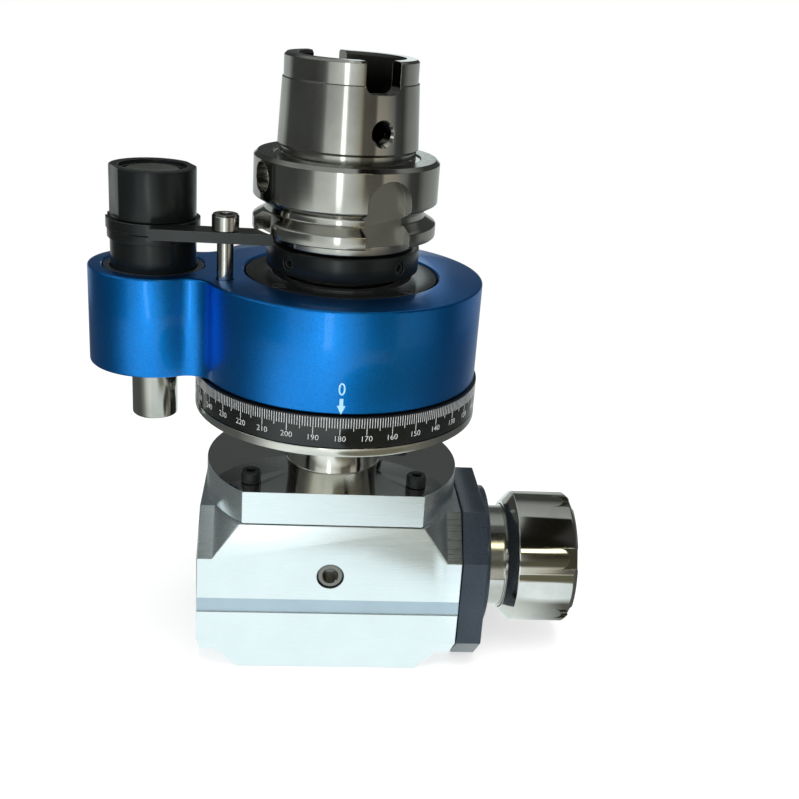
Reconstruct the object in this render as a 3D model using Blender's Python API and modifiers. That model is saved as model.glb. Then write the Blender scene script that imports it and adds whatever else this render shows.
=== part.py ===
"""Right-angle head for a milling spindle: hollow taper shank, swivelling stop housing with
a spring-loaded locking sleeve, graduated swivel ring, bevel gear housing and collet chuck.

Units are metres and +Z is up. The spindle axis is the Z axis, the output axis runs along +X,
and the origin is on the flat underside of the gear housing.
"""
import math

import bmesh
import bpy
from mathutils import Matrix, Vector

# Clearances
GAP = 0.0003                    # between two faces that seat on each other
BORE_EPS = 0.001                # how far a cutter runs past the face it opens

# Gear housing
CORE_LENGTH = 0.084             # between the two end flanges, along X
END_FLANGE = 0.0052             # thickness of each end flange
HOUSING_HEIGHT = 0.058
HOUSING_DEPTH = HOUSING_HEIGHT * 1.16207  # along Y
AXIS_HEIGHT = HOUSING_HEIGHT * 15 / 29  # output axis above the base
CHAMFER_TOP = 0.014             # long edges of the end flanges, upper pair
CHAMFER_BOTTOM = 0.011          # long edges of the end flanges, lower pair
CORNER_RUN = 0.0095             # how far the corner cuts run in along X
CAVITY_RADIUS = AXIS_HEIGHT * 0.7  # bore along the output axis
GEAR_MOUTH_RADIUS = CAVITY_RADIUS - 0.0004  # round opening in the top for the input gear
ALIGN_SLOT_HEIGHT = AXIS_HEIGHT - 0.0045  # middle of the alignment slot above the base
ALIGN_SLOT_WIDTH = 0.0057
ALIGN_SLOT_DEPTH = 0.0005
PLUG_HEIGHT = AXIS_HEIGHT + 0.008
PLUG_RADIUS = 0.0047
PLUG_LENGTH = 0.008
PLUG_SOCKET_RADIUS = 0.0028

# Swivel column: bolted flange, neck, disc and bearing hub in one turned piece
DISC_RADIUS = 0.0505
DISC_HEIGHT = 0.003
COLUMN_FLANGE_RADIUS = DISC_RADIUS * 0.911
COLUMN_FLANGE_HEIGHT = 0.012
COLUMN_FLAT = HOUSING_DEPTH / 2 - GAP  # half width across the flats cut on the flange
NECK_RADIUS = 0.017
NECK_BORE_RADIUS = 0.011
NECK_FILLET = 0.0022
NECK_HEIGHT = 0.0217
HUB_RADIUS = DISC_RADIUS * 0.6655
HUB_RELIEF = 0.005              # depth of the lock nut's room above the disc
RING_HEIGHT = 0.0107            # graduated ring
COLUMN_SCREW_CIRCLE = COLUMN_FLANGE_RADIUS - 0.008
COLUMN_SCREW_ANGLES = (40, 140, 220, 320)
COLUMN_SCREW_LENGTH = 0.018

# Stop housing and its lobe
STOP_RADIUS = DISC_RADIUS - 0.0009
STOP_HEIGHT = 0.0345
STOP_GAP = 0.0005               # running gap above the graduated ring
STOP_BORE_CLEARANCE = 0.0004
LOBE_CENTRE = 0.065             # distance of the locating pin from the spindle
LOBE_RADIUS = 0.0223
LOBE_FILLET = 0.008
LOBE_FLOOR = 0.0055
LOBE_BORE_RADIUS = 0.0175
CLAMP_CIRCLE = DISC_RADIUS * 0.812  # T-slot under the stop housing
CLAMP_ANGLES = (60, 180, 300)
T_SLOT_WIDTH = 0.0082
T_SLOT_MOUTH = 0.0044
T_SLOT_LIP = 0.0033
T_SLOT_HEIGHT = 0.0045

# Locating pin, locking sleeve and arm
PIN_RADIUS = 0.009
PIN_TAIL_RADIUS = 0.008
PIN_TAIL_LENGTH = 0.0208        # below the stop housing
PIN_TOP_DROP = 0.0011           # pin top below the sleeve top
SLEEVE_RADIUS = 0.0146
SLEEVE_STAND = 0.0337           # sleeve top above the stop housing
SLEEVE_LENGTH = 0.0467
SLEEVE_MOUTH_RADIUS = 0.0114
SLEEVE_MOUTH_DEPTH = 0.0016
SLEEVE_SHOULDER_RADIUS = 0.0155
SLEEVE_SHOULDER_HEIGHT = 0.0032
SLEEVE_GROOVE_RADIUS = 0.0132
SLEEVE_TRAVEL = 0.006
SLEEVE_FLAT = 0.01354           # spanner flats on the sleeve, from its axis
SLEEVE_FLAT_ANGLES = (26, -154)
BUSH_LENGTH = 0.0097
ARM_THICKNESS = 0.0036
ARM_STAND = 0.0129              # underside of the arm above the stop housing
ARM_RING_RADIUS = 0.0159
ARM_WIDTH = 0.009
ARM_Y = -0.0167                 # centre line of the arm and its guide post
POST_X = -0.0395
POST_RADIUS = 0.00275
POST_DEPTH = 0.017              # how deep the post stands in the stop housing
POST_THREAD_DEPTH = 0.008
ARM_SPLIT = 0.004
SPRING_WIRE_RADIUS = 0.001
SPRING_RADIUS = 0.0119
SPRING_TURNS = 4

# Shank, to the hollow taper standard of 63 mm flange diameter
FLANGE_RADIUS = 0.0315
FLANGE_LENGTH = 0.026
SHANK_STAND = 0.041             # shank flange face above the stop housing
TAPER_RADIUS = 0.024            # at the flange face
TAPER_TOP_RADIUS = 0.0224
TAPER_LENGTH = 0.032
BORE_RADIUS = 0.017
CLAMP_GROOVE_RADIUS = 0.0185    # undercut that the drawbar fingers grip
CLAMP_SHOULDER = 0.014          # where the undercut narrows again, above the flange face
CLAMP_SHOULDER_RISE = 0.0026
BORE_FLOOR = -0.006             # floor of the bore against the flange face
GRIP_GROOVE_DEPTH = 0.0042
GRIP_GROOVE_CENTRE = 0.018      # below the flange face
GRIP_GROOVE_HALF = 0.0036
KEY_ANGLE = -64                 # drive slot, radial hole and gripper notch
KEY_WIDTH = 0.01254
KEY_DEPTH = 0.0102
RADIAL_HOLE_RADIUS = 0.0035
RADIAL_HOLE_HEIGHT = 0.010
NOTCH_WIDTH = 0.016
NOTCH_FLAT = 0.0265             # flat of the gripper notch from the spindle axis
NOTCH_TOP = 0.0038              # arch of the notch below the flange face
LOCK_NOTCH_ANGLE = -154
LOCK_NOTCH_WIDTH = 0.014
LOCK_NOTCH_FLAT = 0.0276
CHIP_HOLE_RADIUS = 0.005
CHIP_HOLE_DEPTH = 0.0045
CHIP_HOLE_DROP = 0.007
SKIRT_RADIUS = 0.0245
SKIRT_HEIGHT = 0.0037
SPIGOT_RADIUS = 0.012
SPIGOT_LENGTH = 0.0137

# Input shaft and its collar
SHAFT_HEAD_RADIUS = HUB_RADIUS * 0.595
SHAFT_TAP_DEPTH = 0.014         # thread for the draw screw
SHAFT_TAP_POINT = 0.0025
DRAW_SCREW_REACH = 0.0125
COLLAR_RADIUS = SHAFT_HEAD_RADIUS + 0.0065
COLLAR_HEIGHT = 0.0083
COLLAR_SCREW_ANGLES = (-45, 225)
COVER_THICKNESS = 0.0027
COVER_INNER_RADIUS = SHAFT_HEAD_RADIUS + 0.0043
COVER_SCREW_CIRCLE = HUB_RADIUS * 0.9077
COVER_SCREWS = 4
COVER_THREAD_DEPTH = 0.007
TONGUE_CLEARANCE = 0.0004       # arm tip outside the shank flange

# Bearings: bore radius, outer radius and width
UPPER_BEARING_WIDTH = 0.026
LOWER_BEARING_WIDTH = 0.0078
UPPER_BEARING = (HUB_RADIUS * 0.4464, HUB_RADIUS * 0.8185, UPPER_BEARING_WIDTH)
LOWER_BEARING = (AXIS_HEIGHT * 0.2833, AXIS_HEIGHT * 0.5833, LOWER_BEARING_WIDTH)
OUTPUT_BEARING = (AXIS_HEIGHT * 0.4167, CAVITY_RADIUS, CORE_LENGTH * 0.2726)
REAR_BEARING = (AXIS_HEIGHT * 0.25, AXIS_HEIGHT * 0.5833, CORE_LENGTH * 0.131)
BEARING_WALL = 0.24             # ring wall as a share of the section
BALLS = 6
CAGE_HALF = 0.0005              # half thickness of a ball cage
RACE_DEPTH = 0.0004

# Mitre gears
TEETH = 18
PITCH_RADIUS = AXIS_HEIGHT * 0.6
FACE_SHARE = 0.32               # face width as a share of the cone distance
ADDENDUM = PITCH_RADIUS * 0.1056
DEDENDUM = PITCH_RADIUS * 0.1333
TOOTH_SHARE = 0.44              # tooth thickness as a share of the pitch
TOOTH_ROOT_SHARE = 1.38         # width at the root and at the tip against that thickness
TOOTH_TIP_SHARE = 0.52
GEAR_HUB_RADIUS = PITCH_RADIUS * 0.722
GEAR_SEAT_RADIUS = AXIS_HEIGHT * 0.3
GEAR_NUT_THICKNESS = 0.00245

# Output side, measured along X from the spindle axis
PLATE_THICKNESS = 0.0092
RIM_RADIUS = AXIS_HEIGHT * 0.9
RIM_HEIGHT = 0.0025
PLATE_SCREW_CIRCLE = AXIS_HEIGHT * 1.0267
PLATE_THREAD_DEPTH = 0.0103
PLATE_SCREW_LENGTH = 0.0145
PLATE_SCREW_ANGLES = (30, 150, 210, 330)
CHUCK_RADIUS = 0.0192
CHUCK_SEAL_RADIUS = 0.015
CHUCK_NECK_LENGTH = 0.0098
CHUCK_FLATS = 0.0172            # half width across the spanner flats
THREAD_RADIUS = 0.0199
THREAD_LENGTH = 0.0182
COLLET_ANGLE = 8
COLLET_SEAT_RADIUS = 0.0166
COLLET_LENGTH = 0.0405
COLLET_FRONT = 0.0065           # collet face beyond the chuck face
COLLET_BORE_RADIUS = 0.008
COLLET_SLITS = 6
SLIT_WIDTH = 0.0011
NUT_RADIUS = 0.025
NUT_LENGTH = 0.026
NUT_CONE_LENGTH = 0.0036
NUT_CONE_RADIUS = 0.0212
NUT_MOUTH_RADIUS = 0.0149
NUT_NOTCHES = 6
NUT_NOTCH_ANGLE = -116
NUT_NOTCH_WIDTH = 0.0079
NUT_NOTCH_LENGTH = 0.0116
NUT_NOTCH_DEPTH = 0.0026

# End cover on the far side
COVER_PLATE_RADIUS = AXIS_HEIGHT - 0.0043
COVER_PLATE_THICKNESS = 0.0032
PIN_HOLE_CIRCLE = AXIS_HEIGHT * 0.65  # face spanner holes
PIN_HOLES = 2
PIN_HOLE_RADIUS = 0.0016
PIN_HOLE_DEPTH = 0.002

# Screws: thread radius, head radius, head height, socket radius
M2_5 = (0.00125, 0.0022, 0.0015, 0.0009)
M3 = (0.0015, 0.0026, 0.0017, 0.0011)
M4 = (0.0020, 0.0035, 0.0040, 0.0017)
ARM_SCREW = (0.0015, 0.0045, 0.0052, 0.0023)
M8 = (0.0040, 0.0065, 0.0080, 0.0034)
SCREW_CLEARANCE = 0.0003
THREAD_END_ROOM = 0.001         # a screw stops this short of its hole's floor
SCREW_SUNK = 0.0004             # headless screws under the surface

# Facets
FINE = 24
SHANK_SIDES = 32
MEDIUM = 18
COARSE = 18
CAGE_SIDES = 12
SCREW_SIDES = 8
FILLET_SIDES = 4
SLOT_SIDES = 8
BALL_SIDES = 6
SPRING_SIDES = 8                # wire segments to a turn

# Heights and stations worked out from the sizes above
HOUSING_END = CORE_LENGTH / 2 + END_FLANGE
HALF_DEPTH = HOUSING_DEPTH / 2
COLUMN_BOTTOM = HOUSING_HEIGHT + GAP
COLUMN_FLANGE_TOP = COLUMN_BOTTOM + COLUMN_FLANGE_HEIGHT
DISC_BOTTOM = COLUMN_FLANGE_TOP + NECK_HEIGHT
DISC_TOP = DISC_BOTTOM + DISC_HEIGHT
RING_BOTTOM = DISC_TOP + GAP
RING_TOP = RING_BOTTOM + RING_HEIGHT
STOP_BOTTOM = RING_TOP + STOP_GAP
STOP_TOP = STOP_BOTTOM + STOP_HEIGHT
STOP_BORE_RADIUS = HUB_RADIUS + STOP_BORE_CLEARANCE
LOBE_FLOOR_TOP = STOP_BOTTOM + LOBE_FLOOR
FLANGE_FACE = STOP_TOP + SHANK_STAND
SHANK_TOP = FLANGE_FACE + TAPER_LENGTH
FLANGE_BOTTOM = FLANGE_FACE - FLANGE_LENGTH
SKIRT_BOTTOM = FLANGE_BOTTOM - SKIRT_HEIGHT
SHAFT_TOP = SKIRT_BOTTOM - GAP
HUB_TOP = STOP_TOP - COVER_THICKNESS - 2 * GAP
COVER_BOTTOM = HUB_TOP + GAP
COVER_TOP = COVER_BOTTOM + COVER_THICKNESS
UPPER_START = HUB_TOP - UPPER_BEARING[2]
HUB_SHOULDER = UPPER_START - GAP
LOCK_NUT_HEIGHT = 0.0064
LOCK_NUT_RADIUS = UPPER_BEARING[1] * 0.7273
LOWER_START = COLUMN_BOTTOM + 0.0017
POCKET_TOP = LOWER_START + LOWER_BEARING[2] + GAP
GEAR_BACK = PITCH_RADIUS
GEAR_FRONT = PITCH_RADIUS * (1 - FACE_SHARE)
GEAR_NUT_FRONT = GEAR_FRONT - GAP - GEAR_NUT_THICKNESS
SHAFT_THREAD_RADIUS = PITCH_RADIUS * 0.361
PLATE_IN = HOUSING_END + GAP
PLATE_OUT = PLATE_IN + PLATE_THICKNESS
RIM_OUT = PLATE_OUT + RIM_HEIGHT
OUTPUT_START = HOUSING_END - GAP - OUTPUT_BEARING[2]
SEAL_END = PLATE_OUT - 0.0006
CHUCK_COLLAR_START = SEAL_END + GAP
THREAD_START = CHUCK_COLLAR_START + CHUCK_NECK_LENGTH
CHUCK_FACE = THREAD_START + THREAD_LENGTH
COLLET_FACE = CHUCK_FACE + COLLET_FRONT
COLLET_TAIL = COLLET_FACE - COLLET_LENGTH
NUT_BACK = THREAD_START + 0.0005
NUT_FACE = NUT_BACK + NUT_LENGTH
COVER_POCKET = -HOUSING_END + COVER_PLATE_THICKNESS + 0.0005
REAR_START = COVER_POCKET + 0.0020
COVER_SPIGOT_END = REAR_START + REAR_BEARING[2] + 0.0005
SLEEVE_TOP = STOP_TOP + SLEEVE_STAND
SLEEVE_BOTTOM = SLEEVE_TOP - SLEEVE_LENGTH
ARM_BOTTOM = STOP_TOP + ARM_STAND
ARM_TOP = ARM_BOTTOM + ARM_THICKNESS
POST_TOP = ARM_BOTTOM - GAP
POST_BOTTOM = STOP_TOP - POST_DEPTH

STEEL = ((0.62, 0.62, 0.60), 0.25, 1.0)
BLACK = ((0.015, 0.015, 0.016), 0.40, 0.6)
BLUE = ((0.01, 0.12, 0.55), 0.25, 0.6)
NICKEL = ((0.80, 0.82, 0.85), 0.30, 0.9)
DARK = ((0.05, 0.06, 0.08), 0.35, 0.8)
BRASS = ((0.55, 0.38, 0.14), 0.35, 1.0)
RUBBER = ((0.02, 0.02, 0.02), 0.80, 0.0)


def clear_scene():
    """Remove whatever the file holds."""
    for obj in list(bpy.data.objects):
        bpy.data.objects.remove(obj, do_unlink=True)
    for mesh in list(bpy.data.meshes):
        bpy.data.meshes.remove(mesh)


def new_collection(name):
    """Add a collection to the scene."""
    collection = bpy.data.collections.new(name)
    bpy.context.scene.collection.children.link(collection)
    return collection


def make_empty(name, location, rotation=(0, 0, 0)):
    """An axis or a body's frame."""
    empty = bpy.data.objects.new(name, None)
    empty.location = location
    empty.rotation_euler = rotation
    parts.objects.link(empty)
    return empty


def make_object(name, mesh, frame, collection=None):
    """Link a mesh object under a frame."""
    obj = bpy.data.objects.new(name, mesh)
    (collection or parts).objects.link(obj)
    obj.parent = frame
    return obj


def finish(obj, look):
    """Give a piece its material and shade it smooth."""
    colour, roughness, metallic = look
    material = bpy.data.materials.new(obj.name)
    material.use_nodes = True
    shader = material.node_tree.nodes["Principled BSDF"]
    shader.inputs["Base Color"].default_value = (*colour, 1)
    shader.inputs["Roughness"].default_value = roughness
    shader.inputs["Metallic"].default_value = metallic
    obj.data.materials.clear()
    obj.data.materials.append(material)
    obj.data.shade_smooth()
    obj.data.set_sharp_from_angle(angle=math.radians(35))
    return obj


def mesh_from(bm, name):
    """Turn a bmesh into mesh data with its faces pointing out."""
    bmesh.ops.recalc_face_normals(bm, faces=bm.faces)
    mesh = bpy.data.meshes.new(name)
    bm.to_mesh(mesh)
    bm.free()
    return mesh


def turn(name, profile, frame, steps=FINE, collection=None):
    """A turned piece: the profile runs down its outer side, radius and height in turn."""
    bm = bmesh.new()
    verts = [bm.verts.new((radius, 0, height)) for radius, height in profile]
    for first, second in zip(verts, verts[1:] + verts[:1]):
        if first.co.x > 0 or second.co.x > 0:
            bm.edges.new((first, second))
    mesh = bpy.data.meshes.new(name)
    bm.to_mesh(mesh)
    bm.free()
    blank = make_object(name + "_profile", mesh, frame, collection)
    screw = blank.modifiers.new("turn", "SCREW")
    screw.steps = steps
    screw.render_steps = steps
    screw.use_merge_vertices = True
    screw.merge_threshold = 0.000001
    screw.use_normal_calculate = True
    solid = realise(blank, name, frame, collection)
    return solid


def realise(blank, name, frame, collection=None):
    """Apply a blank's modifiers or curve to a new closed mesh object, and drop the blank."""
    bpy.context.view_layer.update()
    evaluated = blank.evaluated_get(bpy.context.evaluated_depsgraph_get())
    mesh = bpy.data.meshes.new_from_object(evaluated)
    bpy.data.objects.remove(blank, do_unlink=True)
    bm = bmesh.new()
    bm.from_mesh(mesh)
    bmesh.ops.remove_doubles(bm, verts=bm.verts, dist=0.000001)
    bmesh.ops.dissolve_degenerate(bm, edges=bm.edges, dist=0.000001)
    return make_object(name, mesh_from(bm, name), frame, collection)


def tube(name, inner, outer, low, high, frame, steps=MEDIUM):
    """A plain ring or bush."""
    return turn(name, [(outer, high), (outer, low), (inner, low), (inner, high)], frame, steps)


def plate(name, outline, low, high, frame, collection=None):
    """A flat outline in XY, extruded between two heights."""
    curve = bpy.data.curves.new(name, "CURVE")
    curve.dimensions = "2D"
    curve.fill_mode = "BOTH"
    curve.extrude = (high - low) / 2
    spline = curve.splines.new("POLY")
    spline.points.add(len(outline) - 1)
    for point, (x, y) in zip(spline.points, outline):
        point.co = (x, y, 0, 1)
    spline.use_cyclic_u = True
    blank = make_object(name + "_outline", curve, None, collection)
    solid = realise(blank, name, frame, collection)
    solid.data.transform(Matrix.Translation((0, 0, (low + high) / 2)))
    return solid


def add_box(bm, low, high):
    """A box between two corners."""
    centre = (Vector(low) + Vector(high)) / 2
    size = Vector(high) - Vector(low)
    matrix = Matrix.Translation(centre) @ Matrix.Diagonal((*size, 1))
    return bmesh.ops.create_cube(bm, size=1, matrix=matrix)["verts"]


def add_rod(bm, radius, low, high, place=Matrix(), sides=MEDIUM):
    """A cylinder along the local Z of a placing matrix."""
    matrix = place @ Matrix.Translation((0, 0, (low + high) / 2))
    made = bmesh.ops.create_cone(
        bm, cap_ends=True, segments=sides, radius1=radius, radius2=radius,
        depth=high - low, matrix=matrix)
    return made["verts"]


def polar(radius, angle, height=0.0):
    """A place on a pitch circle, angle in degrees."""
    turn_angle = math.radians(angle)
    return Matrix.Translation((radius * math.cos(turn_angle), radius * math.sin(turn_angle), height))


def radial(angle, height):
    """A frame whose local Z points out from the axis at an angle in degrees."""
    spin = Matrix.Rotation(math.radians(angle), 4, "Z")
    return Matrix.Translation((0, 0, height)) @ spin @ Matrix.Rotation(math.radians(90), 4, "Y")


def spun(angle):
    """A turn about the axis, in degrees."""
    return Matrix.Rotation(math.radians(angle), 4, "Z")


def cutter(name, bm, frame):
    """A hidden tool body for Booleans."""
    return hide(make_object(name, mesh_from(bm, name), frame, cutters))


def hide(obj):
    """Mark an object as a tool body."""
    obj.hide_render = True
    obj.display_type = "WIRE"
    return obj


def cut(obj, tool, operation="DIFFERENCE"):
    """Cut a piece with a tool body, or join it."""
    modifier = obj.modifiers.new(tool.name, "BOOLEAN")
    modifier.operation = operation
    modifier.solver = "EXACT"
    modifier.object = tool
    return obj


def octagon():
    """End outline of the gear housing in local X (down) and Y, seen along the output axis."""
    half = HALF_DEPTH
    top = HOUSING_HEIGHT - AXIS_HEIGHT
    bottom = AXIS_HEIGHT
    return [
        (-top, -half + CHAMFER_TOP), (-top, half - CHAMFER_TOP),
        (-top + CHAMFER_TOP, half), (bottom - CHAMFER_BOTTOM, half),
        (bottom, half - CHAMFER_BOTTOM), (bottom, -half + CHAMFER_BOTTOM),
        (bottom - CHAMFER_BOTTOM, -half), (-top + CHAMFER_TOP, -half),
    ]


def add_screw(bm, size, length):
    """A socket screw body: the head stands on local zero and the shank runs down."""
    thread, head, height, _ = size
    verts = add_rod(bm, head, 0, height, sides=SCREW_SIDES)
    bm.normal_update()
    faces = {face for vert in verts for face in vert.link_faces}
    seat = min(faces, key=lambda face: face.normal.z)
    bmesh.ops.inset_individual(bm, faces=[seat], thickness=head - thread)
    grown = bmesh.ops.extrude_discrete_faces(bm, faces=[seat])["faces"][0]
    bmesh.ops.translate(bm, verts=grown.verts, vec=(0, 0, -length))


def copies(name, blank, places, frame, look):
    """Realise a blank once and set a copy of it at each place, all sharing one mesh."""
    first = realise(blank, name, frame)
    mesh = finish(first, look).data
    bpy.data.objects.remove(first, do_unlink=True)
    for index, place in enumerate(places, 1):
        piece = make_object(f"{name}_{index}" if len(places) > 1 else name, mesh, frame)
        piece.matrix_local = place


def screws(name, size, length, places, frame, look):
    """Like socket screws, a node each: local zero is under the head."""
    body = bmesh.new()
    add_screw(body, size, length)
    blank = make_object(name + "_blank", mesh_from(body, name), frame)
    socket = bmesh.new()
    _, _, height, across = size
    add_rod(socket, across, height * 0.45, height + BORE_EPS, sides=6)
    cut(blank, cutter(name + "_socket", socket, frame))
    copies(name, blank, places, frame, look)


def set_screws(name, size, length, places, frame, look):
    """Like headless set screws, a node each: local zero is the outer end."""
    thread, _, _, across = size
    body = bmesh.new()
    add_rod(body, thread, -length, 0, sides=SCREW_SIDES)
    blank = make_object(name + "_blank", mesh_from(body, name), frame)
    socket = bmesh.new()
    add_rod(socket, across * 0.8, -length * 0.4, BORE_EPS, sides=6)
    cut(blank, cutter(name + "_socket", socket, frame))
    copies(name, blank, places, frame, look)


def drill(obj, name, size, places, depth, frame, head_depth=0.0):
    """Clearance holes for a group of screws, with counterbores where the heads sink in."""
    thread, head, _, _ = size
    shafts = bmesh.new()
    for place in places:
        add_rod(shafts, thread + SCREW_CLEARANCE, -depth, BORE_EPS, place, SCREW_SIDES)
    cut(obj, cutter(name, shafts, frame))
    if head_depth:
        seats = bmesh.new()
        for place in places:
            add_rod(seats, head + SCREW_CLEARANCE, -head_depth, BORE_EPS, place, SCREW_SIDES)
        cut(obj, cutter(name + "_seats", seats, frame))
    return obj


def bearing(name, size, start, rows, fixed, turning):
    """Outer ring, inner ring and the caged balls of one bearing with one or two rows."""
    inner, outer, width = size
    wall = BEARING_WALL * (outer - inner)
    middle = (inner + outer) / 2
    ball = (outer - inner) / 2 - wall - GAP + RACE_DEPTH
    centres = [start + width * (2 * row + 1) / (2 * rows) for row in range(rows)]
    lands = [(low + high) / 2 for low, high in zip(centres, centres[1:])]
    stations = sorted(centres + lands)
    outer_edge = [(outer, start + width), (outer, start), (outer - wall, start)]
    outer_edge += [(outer - wall + RACE_DEPTH * (station in centres), station) for station in stations]
    outer_edge += [(outer - wall, start + width)]
    inner_edge = [(inner + wall, start + width)]
    inner_edge += [(inner + wall - RACE_DEPTH * (station in centres), station)
                   for station in reversed(stations)]
    inner_edge += [(inner + wall, start), (inner, start), (inner, start + width)]
    finish(turn(name + "_outer_ring", outer_edge, fixed, COARSE), STEEL)
    finish(turn(name + "_inner_ring", inner_edge, turning, COARSE), STEEL)
    cage = tube(name + "_cage", middle - CAGE_HALF, middle + CAGE_HALF, centres[0] - ball * 0.6,
                centres[-1] + ball * 0.6, fixed, CAGE_SIDES)
    balls = bmesh.new()
    for centre in centres:
        for index in range(BALLS):
            angle = index * 360 / BALLS + 180 / CAGE_SIDES
            place = radial(angle, centre) @ Matrix.Translation((0, 0, middle))
            bmesh.ops.create_uvsphere(
                balls, u_segments=BALL_SIDES, v_segments=BALL_SIDES - 2, radius=ball, matrix=place)
    cut(cage, cutter(name + "_balls", balls, fixed), "UNION")
    finish(cage, BRASS)


def gear_outline(scale, phase):
    """Trapezoid teeth round a circle, at the large end times a scale."""
    pitch = math.tau / TEETH
    points = []
    for index in range(TEETH):
        middle = index * pitch + math.radians(phase)
        half = pitch * TOOTH_SHARE / 2
        foot, tip = half * TOOTH_ROOT_SHARE, half * TOOTH_TIP_SHARE
        low, high = PITCH_RADIUS - DEDENDUM, PITCH_RADIUS + ADDENDUM
        for radius, offset in ((low, -foot), (high, -tip), (high, tip), (low, foot)):
            angle = middle + offset
            points.append((radius * scale * math.cos(angle), radius * scale * math.sin(angle)))
    return points


def bevel_gear(name, frame, phase, bore, hub_end):
    """A mitre gear whose cone apex is the frame's origin: a loft from heel to toe, and a hub."""
    toe = 1 - FACE_SHARE
    bm = bmesh.new()
    heel_ring = [bm.verts.new((x, y, GEAR_BACK)) for x, y in gear_outline(1, phase)]
    toe_ring = [bm.verts.new((x, y, GEAR_FRONT)) for x, y in gear_outline(toe, phase)]
    bm.faces.new(heel_ring)
    bm.faces.new(toe_ring)
    count = len(heel_ring)
    for index in range(count):
        following = (index + 1) % count
        bm.faces.new((heel_ring[index], heel_ring[following], toe_ring[following], toe_ring[index]))
    gear = make_object(name, mesh_from(bm, name), frame)
    hub = bmesh.new()
    add_rod(hub, GEAR_HUB_RADIUS, GEAR_BACK - BORE_EPS, hub_end, sides=MEDIUM)
    cut(gear, cutter(name + "_hub", hub, frame), "UNION")
    hole = bmesh.new()
    add_rod(hole, bore, GEAR_FRONT - BORE_EPS, hub_end + BORE_EPS, sides=COARSE)
    cut(gear, cutter(name + "_bore", hole, frame))
    return finish(gear, STEEL)


def corner_plane(side_x, side_y, top):
    """Three points of the plane that cuts one corner off the housing core."""
    end = side_x * CORE_LENGTH / 2
    face = side_y * HALF_DEPTH
    level = HOUSING_HEIGHT if top else 0
    drop = CHAMFER_TOP if top else CHAMFER_BOTTOM
    down = -drop if top else drop
    first = Vector((end - side_x * CORNER_RUN, face, level))
    second = Vector((end, face, level + down))
    third = Vector((end, face - side_y * drop, level))
    return first, second, third


def make_gear_housing():
    """Core block with cut corners, octagonal end flanges, bores and tapped holes."""
    core = bmesh.new()
    add_box(core, (-CORE_LENGTH / 2, -HALF_DEPTH, 0), (CORE_LENGTH / 2, HALF_DEPTH, HOUSING_HEIGHT))
    middle = Vector((0, 0, HOUSING_HEIGHT / 2))
    for side_x in (-1, 1):
        for side_y in (-1, 1):
            for top in (False, True):
                first, second, third = corner_plane(side_x, side_y, top)
                normal = (second - first).cross(third - first).normalized()
                if normal.dot(first - middle) < 0:
                    normal = -normal
                geometry = core.verts[:] + core.edges[:] + core.faces[:]
                cut_line = bmesh.ops.bisect_plane(
                    core, geom=geometry, plane_co=first, plane_no=normal, clear_outer=True)
                edges = [item for item in cut_line["geom_cut"] if isinstance(item, bmesh.types.BMEdge)]
                bmesh.ops.edgenet_fill(core, edges=edges)
    housing = make_object("gear_housing", mesh_from(core, "gear_housing"), root)
    for label, start, end in (
            ("rear_flange", -HOUSING_END, -CORE_LENGTH / 2 + END_FLANGE / 2),
            ("front_flange", CORE_LENGTH / 2 - END_FLANGE / 2, HOUSING_END)):
        cut(housing, hide(plate(label, octagon(), start, end, output_axis, cutters)), "UNION")
    bores = turn(
        "housing_bore",
        [(CAVITY_RADIUS + GAP, HOUSING_END + BORE_EPS), (CAVITY_RADIUS + GAP, COVER_POCKET),
         (COVER_PLATE_RADIUS + GAP, COVER_POCKET), (COVER_PLATE_RADIUS + GAP, -HOUSING_END - BORE_EPS),
         (0, -HOUSING_END - BORE_EPS), (0, HOUSING_END + BORE_EPS)],
        output_axis, MEDIUM, cutters)
    cut(housing, hide(bores))
    top = bmesh.new()
    add_rod(top, GEAR_MOUTH_RADIUS, AXIS_HEIGHT, HOUSING_HEIGHT + BORE_EPS, sides=FINE)
    cut(housing, cutter("gear_mouth", top, root))
    front = bmesh.new()
    across = Matrix.Translation((0, 0, PLUG_HEIGHT)) @ Matrix.Rotation(math.radians(90), 4, "X")
    add_rod(front, PLUG_RADIUS + SCREW_CLEARANCE, CAVITY_RADIUS * 0.8, HALF_DEPTH + BORE_EPS, across, COARSE)
    cut(housing, cutter("plug_hole", front, root))
    slots = bmesh.new()
    for side in (-1, 1):
        inner = side * (HALF_DEPTH - ALIGN_SLOT_DEPTH)
        outer = side * (HALF_DEPTH + BORE_EPS)
        add_box(slots, (-HOUSING_END - BORE_EPS, min(inner, outer), ALIGN_SLOT_HEIGHT - ALIGN_SLOT_WIDTH / 2),
                (HOUSING_END + BORE_EPS, max(inner, outer), ALIGN_SLOT_HEIGHT + ALIGN_SLOT_WIDTH / 2))
    cut(housing, cutter("align_slots", slots, root))
    depth = COLUMN_SCREW_LENGTH - COLUMN_FLANGE_HEIGHT
    drill(housing, "housing_top_holes", M4, column_places(HOUSING_HEIGHT), depth + 2 * GAP, root)
    drill(housing, "housing_front_holes", M4, plate_places(HOUSING_END), PLATE_THREAD_DEPTH, output_axis)
    return finish(housing, NICKEL)


def column_places(height):
    """Seats of the column screws."""
    return [polar(COLUMN_SCREW_CIRCLE, angle, height) for angle in COLUMN_SCREW_ANGLES]


def clamp_places(height):
    """Seats of the swivel clamp bolts, heads hanging under the disc."""
    flip = Matrix.Rotation(math.pi, 4, "X")
    return [polar(CLAMP_CIRCLE, angle, height) @ flip for angle in CLAMP_ANGLES]


def plate_places(station):
    """Seats of the output plate screws along the output axis."""
    return [polar(PLATE_SCREW_CIRCLE, 90 + angle, station) for angle in PLATE_SCREW_ANGLES]


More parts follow.
